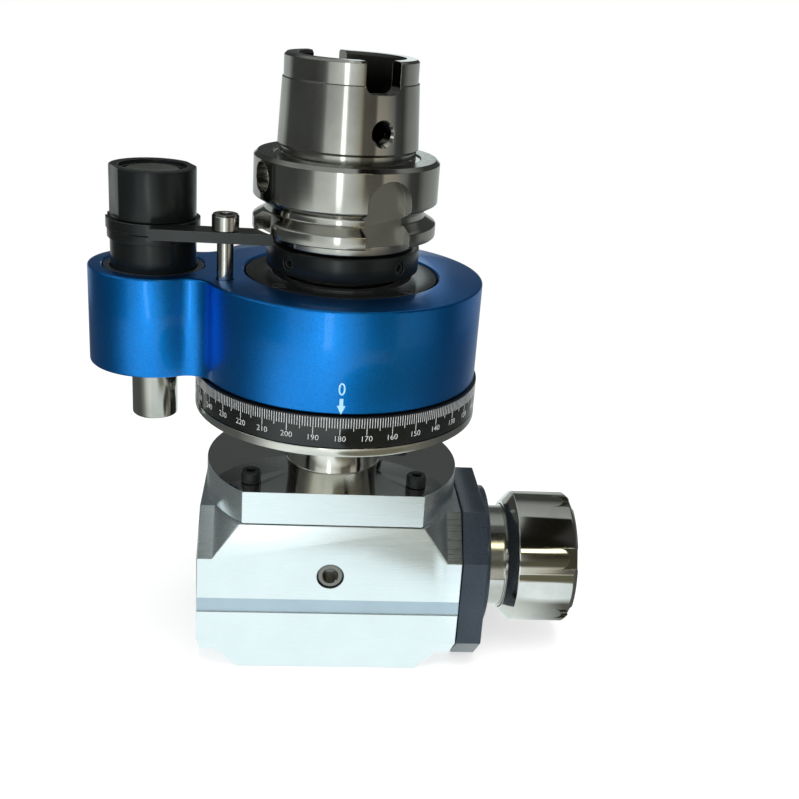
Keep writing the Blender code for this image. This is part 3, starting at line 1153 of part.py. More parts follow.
clear_scene()
parts = new_collection("angle_head")
cutters = new_collection("angle_head_cutters")
ALONG_X = (0, math.radians(90), 0)
root = make_empty("gear_head", (0, 0, 0))
input_body = make_empty("input_axis", (0, 0, 0))
stop_axis = make_empty("swivel_axis", (0, 0, 0))
sleeve_axis = make_empty("pin_axis", (-LOBE_CENTRE, 0, 0))
sleeve_body = make_empty("sleeve_axis", (-LOBE_CENTRE, 0, 0))
post_axis = make_empty("post_axis", (POST_X, ARM_Y, 0))
output_axis = make_empty("output_axis", (0, 0, AXIS_HEIGHT), ALONG_X)
chuck_body = make_empty("chuck_axis", (0, 0, AXIS_HEIGHT), ALONG_X)
collet_body = make_empty("collet_axis", (0, 0, AXIS_HEIGHT), ALONG_X)
nut_body = make_empty("nut_axis", (0, 0, AXIS_HEIGHT), ALONG_X)
apex = make_empty("gear_apex", (0, 0, AXIS_HEIGHT))
bpy.context.view_layer.update()

make_gear_housing()
make_column()
make_swivel_details()
make_stop_housing()
make_pin_and_sleeve()
make_shank()
make_input_shaft()
make_chuck()
make_output_plate()
make_end_cover()
make_collet_and_nut()
make_plug()
bevel_gear("input_gear", apex, 0, LOWER_BEARING[0], LOWER_START - GAP - AXIS_HEIGHT)
bevel_gear("output_gear", chuck_body, 180 / TEETH, GEAR_SEAT_RADIUS + GAP, OUTPUT_START - GAP)
bearing("upper_bearing", UPPER_BEARING, UPPER_START, 2, root, input_body)
bearing("lower_bearing", LOWER_BEARING, LOWER_START, 1, root, input_body)
bearing("output_bearing", OUTPUT_BEARING, OUTPUT_START, 2, output_axis, chuck_body)
bearing("rear_bearing", REAR_BEARING, REAR_START, 1, output_axis, chuck_body)
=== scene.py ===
"""Right-angle milling head: the finished look of the machined, blackened and enamelled
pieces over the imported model, with studio floor, lamps and camera.

Lengths are metres. The spindle axis is Z, the output axis runs along +X, and the head stands
on Z = 0.
"""
import math

import bmesh
import bpy
from bpy.props import FloatProperty, FloatVectorProperty, IntProperty, PointerProperty
from mathutils import Matrix, Vector


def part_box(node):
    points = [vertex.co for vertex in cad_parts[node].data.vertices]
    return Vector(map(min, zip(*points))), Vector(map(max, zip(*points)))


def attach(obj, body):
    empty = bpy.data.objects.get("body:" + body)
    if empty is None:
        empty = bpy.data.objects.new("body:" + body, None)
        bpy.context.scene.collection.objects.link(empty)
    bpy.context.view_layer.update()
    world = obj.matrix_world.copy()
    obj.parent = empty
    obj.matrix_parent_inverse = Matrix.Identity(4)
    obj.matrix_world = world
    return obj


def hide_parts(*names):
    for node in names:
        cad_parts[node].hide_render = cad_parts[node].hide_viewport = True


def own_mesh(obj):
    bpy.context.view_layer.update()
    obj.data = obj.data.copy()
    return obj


bl_info = {
    "name": "Right-Angle Milling Head",
    "version": (1, 0, 0),
    "blender": (4, 5, 0),
    "location": "3D View > Sidebar > Milling Head",
    "description": "Builds the finished look of a right-angle milling head piece by piece",
    "category": "Add Mesh",
}

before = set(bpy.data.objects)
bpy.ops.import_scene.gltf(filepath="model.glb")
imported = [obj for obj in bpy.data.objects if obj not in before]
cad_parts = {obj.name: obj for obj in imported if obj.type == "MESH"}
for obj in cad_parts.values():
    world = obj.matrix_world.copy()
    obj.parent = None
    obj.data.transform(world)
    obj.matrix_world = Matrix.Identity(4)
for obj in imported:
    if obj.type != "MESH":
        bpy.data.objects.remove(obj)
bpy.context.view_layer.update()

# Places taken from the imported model
SHANK_LOW, SHANK_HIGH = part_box("taper_shank")
HOUSING_LOW, HOUSING_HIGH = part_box("gear_housing")
COLUMN_LOW, COLUMN_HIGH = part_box("swivel_column")
RING_LOW, RING_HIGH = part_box("graduated_ring")
STOP_LOW, STOP_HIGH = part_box("stop_housing")
COVER_LOW, COVER_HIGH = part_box("bearing_cover")
COLLAR_LOW, COLLAR_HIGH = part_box("spindle_collar")
SLEEVE_LOW, SLEEVE_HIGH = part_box("locking_sleeve")
PIN_LOW, PIN_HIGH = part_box("locating_pin")
BUSH_LOW, BUSH_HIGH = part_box("sleeve_bush")
ARM_LOW, ARM_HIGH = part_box("locking_arm")
POST_LOW, POST_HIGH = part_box("guide_post")
ARM_SCREW_LOW, ARM_SCREW_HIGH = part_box("arm_screw")
PLATE_LOW, PLATE_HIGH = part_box("output_plate")
CHUCK_LOW, CHUCK_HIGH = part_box("collet_chuck")
COLLET_LOW, COLLET_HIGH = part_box("spring_collet")
NUT_LOW, NUT_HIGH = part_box("collet_nut")
END_COVER_LOW, END_COVER_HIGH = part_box("end_cover")
PLUG_LOW, PLUG_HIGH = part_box("front_plug")
SPRING_LOW, SPRING_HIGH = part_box("return_spring")
PIN_AXIS_X = (SLEEVE_LOW.x + SLEEVE_HIGH.x) / 2
OUTPUT_Z = (NUT_LOW.z + NUT_HIGH.z) / 2
POST_AXIS = Vector(((POST_LOW.x + POST_HIGH.x) / 2, (POST_LOW.y + POST_HIGH.y) / 2, 0))
FLANGE_FACE = SHANK_HIGH.z - 0.032

# Placing matrices
UP = Matrix.Identity(4)
ALONG_X = Matrix.Translation((0, 0, OUTPUT_Z)) @ Matrix.Rotation(math.radians(90), 4, "Y")
AT_PIN = Matrix.Translation((PIN_AXIS_X, 0, 0))
AT_POST = Matrix.Translation(POST_AXIS)
FRONT = Matrix.Rotation(math.radians(90), 4, "X")

# Facets of the round pieces
ROUND = 160
SMALL_ROUND = 64
FILLET_STEPS = 3


class AngleHeadSizes(bpy.types.PropertyGroup):
    """Sizes of the finishing details."""

    edge_break: FloatProperty(
        name="Edge break", description="Small chamfer on machined edges", default=0.0004, unit="LENGTH")
    enamel_round: FloatProperty(
        name="Enamel edge", description="Rounding of the enamelled edges", default=0.0007, unit="LENGTH")
    tick_long: FloatProperty(
        name="Long tick", description="Tick at every ten degrees", default=0.0062, unit="LENGTH")
    tick_middle: FloatProperty(
        name="Middle tick", description="Tick at every five degrees", default=0.0048, unit="LENGTH")
    tick_short: FloatProperty(
        name="Short tick", description="Tick at every degree", default=0.0038, unit="LENGTH")
    tick_width: FloatProperty(
        name="Tick width", description="Width of a graduation line", default=0.00018, unit="LENGTH")
    number_height: FloatProperty(
        name="Number height", description="Height of the numbers on the ring", default=0.00195, unit="LENGTH")
    thread_pitch: FloatProperty(
        name="Thread pitch", description="Pitch of the chuck thread", default=0.0015, unit="LENGTH")
    number_step: IntProperty(
        name="Number step", description="Degrees between two numbers", default=10, min=5, max=90)


class AngleHeadColours(bpy.types.PropertyGroup):
    """Colours of the finishes."""

    steel: FloatVectorProperty(
        name="Ground steel", description="Shank, nut and column", subtype="COLOR", size=3,
        min=0, max=1, default=(0.42, 0.41, 0.38))
    bright: FloatVectorProperty(
        name="Bright metal", description="Gear housing", subtype="COLOR", size=3,
        min=0, max=1, default=(0.86, 0.92, 0.94))
    enamel: FloatVectorProperty(
        name="Anodised blue", description="Stop housing", subtype="COLOR", size=3,
        min=0, max=1, default=(0.004, 0.23, 0.74))
    black: FloatVectorProperty(
        name="Black oxide", description="Sleeve, arm and collar", subtype="COLOR", size=3,
        min=0, max=1, default=(0.012, 0.014, 0.014))
    plate: FloatVectorProperty(
        name="Dark plate", description="Output plate and screws", subtype="COLOR", size=3,
        min=0, max=1, default=(0.035, 0.045, 0.058))
    marks: FloatVectorProperty(
        name="Scale marks", description="Ticks and numbers of the ring", subtype="COLOR", size=3,
        min=0, max=1, default=(0.5, 0.52, 0.52))
    zero_mark: FloatVectorProperty(
        name="Zero mark", description="Figure and arrow on the stop housing", subtype="COLOR", size=3,
        min=0, max=1, default=(0.28, 0.52, 0.68))


def sizes():
    """The sizes set in the sidebar."""
    return bpy.context.scene.angle_head_sizes


def colours():
    """The colours set in the sidebar."""
    return bpy.context.scene.angle_head_colours


# Mesh helpers

def link_mesh(name, bm, place=UP):
    """Put a bmesh into the scene as an object with its place in its vertices."""
    bmesh.ops.transform(bm, matrix=place, verts=bm.verts)
    bmesh.ops.recalc_face_normals(bm, faces=bm.faces)
    mesh = bpy.data.meshes.new(name)
    bm.to_mesh(mesh)
    bm.free()
    obj = bpy.data.objects.new(name, mesh)
    bpy.context.scene.collection.objects.link(obj)
    return obj


def break_corners(profile):
    """A closed profile of radius, height and corner size, with each corner rounded."""
    points = []
    count = len(profile)
    for index, (radius, height, size) in enumerate(profile):
        here = Vector((radius, height))
        if size <= 0:
            points.append(here)
            continue
        before = Vector(profile[index - 1][:2]) - here
        after = Vector(profile[(index + 1) % count][:2]) - here
        size = min(size, before.length * 0.45, after.length * 0.45)
        start = here + before.normalized() * size
        end = here + after.normalized() * size
        for step in range(FILLET_STEPS + 1):
            share = step / FILLET_STEPS
            points.append((1 - share) ** 2 * start + 2 * share * (1 - share) * here + share ** 2 * end)
    return points


def turned(name, profile, place=UP, steps=ROUND):
    """Spin a closed profile of radius, height and corner size round local Z."""
    points = break_corners(profile)
    bm = bmesh.new()
    rings = []
    for point in points:
        if point.x < 1e-7:
            rings.append([bm.verts.new((0, 0, point.y))])
            continue
        ring = []
        for step in range(steps):
            angle = math.tau * step / steps
            ring.append(bm.verts.new((point.x * math.cos(angle), point.x * math.sin(angle), point.y)))
        rings.append(ring)
    for ring, following in zip(rings, rings[1:] + rings[:1]):
        if len(ring) == 1 and len(following) == 1:
            continue
        for step in range(steps):
            after = (step + 1) % steps
            corners = [ring[step % len(ring)], ring[after % len(ring)],
                       following[after % len(following)], following[step % len(following)]]
            bm.faces.new(list(dict.fromkeys(corners)))
    return link_mesh(name, bm, place)


def arc(centre, radius, start, end, steps):
    """Points along an arc, both ends kept; angles in radians."""
    points = []
    for index in range(steps + 1):
        angle = start + (end - start) * index / steps
        points.append(Vector((centre[0] + radius * math.cos(angle), centre[1] + radius * math.sin(angle))))
    return points


def extruded(name, outline, low, high, place=UP, rounding=0.0, segments=3):
    """A flat outline pulled up between two heights, with its rims rounded."""
    bm = bmesh.new()
    lower = [bm.verts.new((point[0], point[1], low)) for point in outline]
    face = bm.faces.new(lower)
    pulled = bmesh.ops.extrude_face_region(bm, geom=[face])
    upper = [item for item in pulled["geom"] if isinstance(item, bmesh.types.BMVert)]
    bmesh.ops.translate(bm, verts=upper, vec=(0, 0, high - low))
    if rounding > 0:
        rims = [edge for edge in bm.edges if abs(edge.verts[0].co.z - edge.verts[1].co.z) < 1e-7]
        bmesh.ops.bevel(bm, geom=rims, offset=rounding, segments=segments, affect="EDGES", profile=0.5)
    return link_mesh(name, bm, place)


def add_box(bm, low, high, turn=UP):
    """A box between two corners, turned by a matrix."""
    centre = (Vector(low) + Vector(high)) / 2
    size = Vector(high) - Vector(low)
    matrix = turn @ Matrix.Translation(centre) @ Matrix.Diagonal((*size, 1))
    return bmesh.ops.create_cube(bm, size=1, matrix=matrix)["verts"]


def add_rod(bm, radius, low, high, place=UP, sides=SMALL_ROUND, top_radius=None):
    """A cylinder or cone along the local Z of a placing matrix."""
    matrix = place @ Matrix.Translation((0, 0, (low + high) / 2))
    tip = radius if top_radius is None else top_radius
    return bmesh.ops.create_cone(
        bm, cap_ends=True, segments=sides, radius1=radius, radius2=tip, depth=high - low,
        matrix=matrix)["verts"]


def spun(degrees):
    """A turn about local Z."""
    return Matrix.Rotation(math.radians(degrees), 4, "Z")


def polar(radius, degrees, height=0.0):
    """A place on a pitch circle."""
    angle = math.radians(degrees)
    return Matrix.Translation((radius * math.cos(angle), radius * math.sin(angle), height))


def outward(degrees, height):
    """A frame at an axis height whose local Z points out at an angle."""
    return Matrix.Translation((0, 0, height)) @ spun(degrees) @ Matrix.Rotation(math.radians(90), 4, "Y")


def carve(obj, bm, place=UP, operation="DIFFERENCE"):
    """Cut a tool body out of a piece, or join it, and apply the result."""
    tool = link_mesh(obj.name + "_tool", bm, place)
    return carve_with(obj, tool, operation)


def carve_with(obj, tool, operation="DIFFERENCE"):
    """Boolean with another object, which is removed."""
    modifier = obj.modifiers.new("cut", "BOOLEAN")
    modifier.object = tool
    modifier.operation = operation
    modifier.solver = "EXACT"
    apply_modifiers(obj)
    bpy.data.objects.remove(tool, do_unlink=True)
    return obj


def apply_modifiers(obj):
    """Replace the mesh by its evaluated form."""
    bpy.context.view_layer.update()
    graph = bpy.context.evaluated_depsgraph_get()
    mesh = bpy.data.meshes.new_from_object(obj.evaluated_get(graph))
    obj.modifiers.clear()
    obj.data = mesh
    return obj


def soften(obj, degrees=32):
    """Shade smooth, with creases kept sharp."""
    obj.data.shade_smooth()
    obj.data.set_sharp_from_angle(angle=math.radians(degrees))
    return obj


def dress(obj, look, body, *nodes):
    """Finish a piece: its material, smooth shading, its body, and the nodes it stands for."""
    obj.data.materials.clear()
    obj.data.materials.append(finish(look))
    soften(obj)
    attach(obj, body)
    if nodes:
        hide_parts(*nodes)
    return obj


# Materials

def new_material(name):
    """An empty node material and its shader."""
    material = bpy.data.materials.new(name)
    material.use_nodes = True
    return material, material.node_tree, material.node_tree.nodes["Principled BSDF"]


def add_node(tree, kind, **values):
    """A node with its attributes or inputs set."""
    node = tree.nodes.new(kind)
    for key, value in values.items():
        if key in node.inputs:
            node.inputs[key].default_value = value
        else:
            setattr(node, key, value)
    return node


def object_place(tree, scale=(1, 1, 1)):
    """Object coordinates, stretched by a scale."""
    place = add_node(tree, "ShaderNodeTexCoord")
    mapping = add_node(tree, "ShaderNodeMapping")
    mapping.inputs["Scale"].default_value = scale
    tree.links.new(place.outputs["Object"], mapping.inputs["Vector"])
    return mapping.outputs["Vector"]


def noise(tree, vector, scale, detail=3.0, roughness=0.55):
    """A noise texture's value."""
    node = add_node(tree, "ShaderNodeTexNoise", Scale=scale, Detail=detail, Roughness=roughness)
    tree.links.new(vector, node.inputs["Vector"])
    return node.outputs["Fac"]


def spread(tree, value, low, high, start=0.3, end=0.7):
    """Map a noise value onto a range."""
    node = add_node(tree, "ShaderNodeMapRange")
    node.inputs["From Min"].default_value = start
    node.inputs["From Max"].default_value = end
    node.inputs["To Min"].default_value = low
    node.inputs["To Max"].default_value = high
    tree.links.new(value, node.inputs["Value"])
    return node.outputs["Result"]


def tint(tree, value, colour, other):
    """Mix two colours by a value."""
    mix = add_node(tree, "ShaderNodeMix", data_type="RGBA")
    mix.inputs[6].default_value = (*colour, 1)
    mix.inputs[7].default_value = (*other, 1)
    tree.links.new(value, mix.inputs[0])
    return mix.outputs[2]


def shade(colour, factor):
    """A colour made lighter or darker."""
    return tuple(min(1.0, channel * factor) for channel in colour)


def machined(name, colour, roughness, stretch, grain=0.15, variation=0.12, edge=0.00025, metallic=1.0,
             anisotropic=0.0, tangent=None, rough_spread=0.06):
    """Machined metal: fine tool marks along one direction, slight stain, softened edges."""
    material, tree, shader = new_material(name)
    shader.inputs["Metallic"].default_value = metallic
    marks = noise(tree, object_place(tree, stretch), 1.0, 4.0, 0.6)
    cloud = noise(tree, object_place(tree), 60.0, 3.0)
    stain = spread(tree, cloud, 0.0, 1.0)
    colour_out = tint(tree, stain, shade(colour, 1 - variation), shade(colour, 1 + variation))
    tree.links.new(colour_out, shader.inputs["Base Color"])
    rough = spread(tree, marks, roughness - rough_spread, roughness + rough_spread)
    tree.links.new(rough, shader.inputs["Roughness"])
    bump = add_node(tree, "ShaderNodeBump", Strength=grain, Distance=0.00005)
    tree.links.new(marks, bump.inputs["Height"])
    if edge > 0:
        bevel = add_node(tree, "ShaderNodeBevel", Radius=edge, samples=4)
        tree.links.new(bevel.outputs["Normal"], bump.inputs["Normal"])
    tree.links.new(bump.outputs["Normal"], shader.inputs["Normal"])
    if anisotropic:
        shader.inputs["Anisotropic"].default_value = anisotropic
        shader.inputs["Anisotropic Rotation"].default_value = 0.25
        turn = add_node(tree, "ShaderNodeTangent", direction_type="RADIAL", axis=tangent)
        tree.links.new(turn.outputs["Tangent"], shader.inputs["Tangent"])
    return material


def enamel(name, colour):
    """Blue anodised aluminium: coloured reflections, a fine sparkle and a faint unevenness."""
    material, tree, shader = new_material(name)
    place = object_place(tree)
    flakes = add_node(tree, "ShaderNodeTexVoronoi", Scale=3200.0)
    tree.links.new(place, flakes.inputs["Vector"])
    spark = spread(tree, flakes.outputs["Distance"], 0.0, 1.0, 0.25, 0.75)
    colour_out = tint(tree, spark, shade(colour, 1.15), shade(colour, 0.8))
    tree.links.new(colour_out, shader.inputs["Base Color"])
    shader.inputs["Metallic"].default_value = 1.0
    shader.inputs["Roughness"].default_value = 0.36
    shader.inputs["Coat Weight"].default_value = 0.3
    shader.inputs["Coat Roughness"].default_value = 0.04
    peel = add_node(tree, "ShaderNodeBump", Strength=0.06, Distance=0.0001)
    tree.links.new(noise(tree, place, 420.0, 2.0), peel.inputs["Height"])
    tree.links.new(peel.outputs["Normal"], shader.inputs["Normal"])
    tree.links.new(peel.outputs["Normal"], shader.inputs["Coat Normal"])
    return material


def oxide(name, colour, roughness, edge=0.0003, wear=0.5, coat=0.0):
    """Black oxide or paint: satin, mottled, with bright steel rubbed through at the edges."""
    material, tree, shader = new_material(name)
    place = object_place(tree)
    cloud = noise(tree, place, 90.0, 4.0)
    fine = noise(tree, place, 900.0, 2.0)
    base = tint(tree, spread(tree, cloud, 0.0, 1.0), shade(colour, 0.92), shade(colour, 1.12))
    bevel = add_node(tree, "ShaderNodeBevel", Radius=edge, samples=4)
    geometry = add_node(tree, "ShaderNodeNewGeometry")
    compare = add_node(tree, "ShaderNodeVectorMath", operation="DOT_PRODUCT")
    tree.links.new(bevel.outputs["Normal"], compare.inputs[0])
    tree.links.new(geometry.outputs["Normal"], compare.inputs[1])
    rubbed = spread(tree, compare.outputs["Value"], wear, 0.0, 0.78, 0.97)
    mixed = add_node(tree, "ShaderNodeMix", data_type="RGBA")
    mixed.inputs[7].default_value = (0.32, 0.33, 0.32, 1)
    tree.links.new(rubbed, mixed.inputs[0])
    tree.links.new(base, mixed.inputs[6])
    tree.links.new(mixed.outputs[2], shader.inputs["Base Color"])
    shader.inputs["Metallic"].default_value = 0.6
    rough = spread(tree, fine, roughness - 0.01, roughness + 0.015)
    tree.links.new(rough, shader.inputs["Roughness"])
    shader.inputs["Coat Weight"].default_value = coat
    shader.inputs["Coat Roughness"].default_value = 0.08
    bump = add_node(tree, "ShaderNodeBump", Strength=0.05, Distance=0.00004)
    tree.links.new(fine, bump.inputs["Height"])
    tree.links.new(bevel.outputs["Normal"], bump.inputs["Normal"])
    tree.links.new(bump.outputs["Normal"], shader.inputs["Normal"])
    return material


def plain_marks(name, colour):
    """Filled engraving: matt paint with slight unevenness."""
    material, tree, shader = new_material(name)
    cloud = noise(tree, object_place(tree), 500.0, 3.0)
    tree.links.new(tint(tree, spread(tree, cloud, 0.0, 1.0), shade(colour, 0.82), colour),
                   shader.inputs["Base Color"])
    shader.inputs["Roughness"].default_value = 0.5
    return material


def rubber(name):
    """Matt seal rubber with a fine moulded grain."""
    material, tree, shader = new_material(name)
    grain = noise(tree, object_place(tree), 700.0, 3.0)
    tree.links.new(tint(tree, grain, (0.012, 0.012, 0.013), (0.028, 0.028, 0.03)),
                   shader.inputs["Base Color"])
    shader.inputs["Roughness"].default_value = 0.7
    bump = add_node(tree, "ShaderNodeBump", Strength=0.2, Distance=0.00005)
    tree.links.new(grain, bump.inputs["Height"])
    tree.links.new(bump.outputs["Normal"], shader.inputs["Normal"])
    return material


ALONG_Z_MARKS = (30, 30, 9000)
ALONG_X_MARKS = (9000, 30, 30)
FINISHES = {}


def finish(name):
    """One of the head's finishes, made once."""
    if name not in FINISHES:
        FINISHES[name] = make_finish(name)
    return FINISHES[name]


def make_finish(name):
    """Make a finish by its name."""
    paint = colours()
    if name == "shank_steel":
        return machined(name, paint.steel, 0.13, ALONG_Z_MARKS, grain=0.02, anisotropic=0.8, tangent="Z",
                        rough_spread=0.015)
    if name == "column_steel":
        return machined(name, shade(paint.steel, 1.6), 0.14, ALONG_Z_MARKS, grain=0.02, anisotropic=0.7, tangent="Z",
                        rough_spread=0.02)
    if name == "nut_steel":
        return machined(name, shade(paint.steel, 1.4), 0.08, ALONG_X_MARKS, grain=0.03, anisotropic=0.7,
                        tangent="X", rough_spread=0.02)
    if name == "chuck_steel":
        return machined(name, shade(paint.steel, 1.2), 0.18, ALONG_X_MARKS, grain=0.04, anisotropic=0.75, tangent="X",
                        rough_spread=0.03)
    if name == "pin_steel":
        return machined(name, shade(paint.steel, 1.25), 0.16, (30, 30, 4000), grain=0.06)
    if name == "bright_metal":
        return machined(name, paint.bright, 0.3, (40, 4000, 4000), grain=0.05, variation=0.02, rough_spread=0.05)
    if name == "slot_metal":
        return machined(name, (0.5, 0.6, 0.68), 0.4, (40, 6000, 6000), grain=0.1, variation=0.04)
    if name == "screw_steel":
        return machined(name, shade(paint.steel, 0.6), 0.25, (3000, 3000, 3000), grain=0.05)
    if name == "bearing_steel":
        return machined(name, shade(paint.steel, 1.4), 0.12, (2000, 2000, 2000), grain=0.04)
    if name == "gear_steel":
        return machined(name, paint.steel, 0.32, (2500, 2500, 2500), grain=0.1)
    if name == "cage_brass":
        return machined(name, (0.62, 0.43, 0.16), 0.3, (1500, 1500, 1500), grain=0.08)
    if name == "spring_wire":
        return machined(name, shade(paint.steel, 0.8), 0.3, (800, 800, 800), grain=0.1, edge=0)
    if name == "black_oxide":
        return oxide(name, paint.black, 0.24)
    if name == "black_screw":
        return oxide(name, shade(paint.black, 1.3), 0.36, edge=0.0002, wear=0.35)
    if name == "gloss_black":
        return oxide(name, shade(paint.black, 0.8), 0.14, edge=0.0002, wear=0.25, coat=0.6)
    if name == "dark_plate":
        return oxide(name, paint.plate, 0.28, wear=0.45)
    if name == "blue_enamel":
        return enamel(name, paint.enamel)
    if name == "mark_paint":
        return plain_marks(name, paint.marks)
    if name == "pale_mark":
        return plain_marks(name, paint.zero_mark)
    if name == "flange_mirror":
        return machined(name, (0.8, 0.8, 0.77), 0.06, (400, 400, 400), grain=0.02, variation=0.04, rough_spread=0.02)
    # Painted shade: the bore's steel is darkened to a fifth for the shade inside the hollow shank.
    if name == "bore_painted_shade":
        return machined(name, shade(paint.steel, 0.2), 0.35, (30, 30, 3000), grain=0.1)
    if name == "milled_steel":
        return machined(name, shade(paint.steel, 0.75), 0.42, (2500, 2500, 2500), grain=0.06, variation=0.05)
    if name == "lapped_steel":
        return machined(name, shade(paint.steel, 0.5), 0.2, (600, 600, 600), grain=0.04, variation=0.05)
    if name == "seal_rubber":
        return rubber(name)
    raise ValueError(f"no finish is named {name}")


# Sizes that the pieces share

GROOVE_FLANK = math.tan(math.radians(30))
SCREW_SOCKET_SHARE = 0.5


def cap_screw_mesh(name, head, height, socket, thread, length):
    """A socket cap screw: the head stands on local zero and the shank runs down."""
    edge = head * 0.1
    screw = turned(name, [
        (0, height, 0), (head - edge, height, 0), (head, height - edge * 1.4, 0), (head, 0, 0),
        (thread, 0, 0), (thread, -length + thread * 0.4, 0), (thread * 0.6, -length, 0), (0, -length, 0)],
        steps=SMALL_ROUND)
    pocket = bmesh.new()
    add_rod(pocket, socket * 1.155, height * (1 - SCREW_SOCKET_SHARE), height + head, spun(30), 6)
    carve(screw, pocket)
    rim = bmesh.new()
    add_rod(rim, socket * 1.02, height - edge * 0.8, height + edge * 0.8, sides=SMALL_ROUND,
            top_radius=socket * 1.02 + edge * 1.6)
    carve(screw, rim)
    return screw


def set_screw_mesh(name, radius, length, socket):
    """A headless screw with a hex socket; local zero is its outer end."""
    edge = radius * 0.12
    screw = turned(name, [
        (0, 0, 0), (radius - edge, 0, 0), (radius, -edge, 0), (radius, -length + edge, 0),
        (radius - edge, -length, 0), (0, -length, 0)], steps=SMALL_ROUND)
    pocket = bmesh.new()
    add_rod(pocket, socket * 1.155, -length * 0.5, radius, spun(30), 6)
    carve(screw, pocket)
    rim = bmesh.new()
    add_rod(rim, socket, -edge, edge, sides=SMALL_ROUND, top_radius=socket + edge * 2)
    return carve(screw, rim)


def place_copies(blank, names, places, look, body):
    """Set a copy of a finished mesh for each node at its place, and drop the blank."""
    for name, place in zip(names, places, strict=True):
        mesh = blank.data.copy()
        mesh.transform(place)
        piece = bpy.data.objects.new(name + "_fine", mesh)
        bpy.context.scene.collection.objects.link(piece)
        dress(piece, look, body, name)
    bpy.data.objects.remove(blank, do_unlink=True)


def paint_faces(obj, material, test):
    """Give a second material to the faces that a test picks."""
    obj.data.materials.append(material)
    index = len(obj.data.materials) - 1
    for face in obj.data.polygons:
        if test(face):
            face.material_index = index


# Gear housing

CORE_HALF = 0.042
END_FLANGE = 0.0052
HALF_DEPTH = HOUSING_HIGH.y
HOUSING_TOP = HOUSING_HIGH.z
CHAMFER_TOP = 0.014
CHAMFER_BOTTOM = 0.011
CORNER_RUN = 0.0095
CAVITY_R = 0.0213
COVER_SEAT_R = 0.026
COVER_SEAT_DEPTH = 0.0037
GEAR_MOUTH_R = 0.0206
SLOT_MIDDLE = 0.0255
SLOT_WIDTH = 0.0057
SLOT_DEPTH = 0.0005
PLUG_Z = (PLUG_LOW.z + PLUG_HIGH.z) / 2
PLUG_R = PLUG_HIGH.x
SCREW_CIRCLE = 0.038
SCREW_ANGLES = (40, 140, 220, 320)
PLATE_CIRCLE = 0.0308
PLATE_ANGLES = (30, 150, 210, 330)


def end_octagon():
    """Outline of the end flanges in local X (down) and Y, seen along the output axis."""
    top = HOUSING_TOP - OUTPUT_Z
    bottom = OUTPUT_Z
    return [
        (-top, -HALF_DEPTH + CHAMFER_TOP), (-top, HALF_DEPTH - CHAMFER_TOP),
        (-top + CHAMFER_TOP, HALF_DEPTH), (bottom - CHAMFER_BOTTOM, HALF_DEPTH),
        (bottom, HALF_DEPTH - CHAMFER_BOTTOM), (bottom, -HALF_DEPTH + CHAMFER_BOTTOM),
        (bottom - CHAMFER_BOTTOM, -HALF_DEPTH), (-top + CHAMFER_TOP, -HALF_DEPTH),
    ]


def housing_core():
    """Core block with its eight corners cut off and every edge broken."""
    bm = bmesh.new()
    add_box(bm, (-CORE_HALF, -HALF_DEPTH, 0), (CORE_HALF, HALF_DEPTH, HOUSING_TOP))
    middle = Vector((0, 0, HOUSING_TOP / 2))
    for side_x in (-1, 1):
        for side_y in (-1, 1):
            for top in (False, True):
                end, face = side_x * CORE_HALF, side_y * HALF_DEPTH
                level = HOUSING_TOP if top else 0
                drop = CHAMFER_TOP if top else CHAMFER_BOTTOM
                first = Vector((end - side_x * CORNER_RUN, face, level))
                second = Vector((end, face, level - drop if top else level + drop))
                third = Vector((end, face - side_y * drop, level))
                normal = (second - first).cross(third - first).normalized()
                if normal.dot(first - middle) < 0:
                    normal = -normal
                cut_line = bmesh.ops.bisect_plane(
                    bm, geom=bm.verts[:] + bm.edges[:] + bm.faces[:], plane_co=first, plane_no=normal,
                    clear_outer=True)
                edges = [item for item in cut_line["geom_cut"] if isinstance(item, bmesh.types.BMEdge)]
                bmesh.ops.edgenet_fill(bm, edges=edges)
    bmesh.ops.remove_doubles(bm, verts=bm.verts, dist=1e-6)
    bmesh.ops.bevel(bm, geom=bm.edges[:], offset=sizes().edge_break, segments=2, affect="EDGES", profile=0.5)
    return link_mesh("gear_housing_finished", bm)


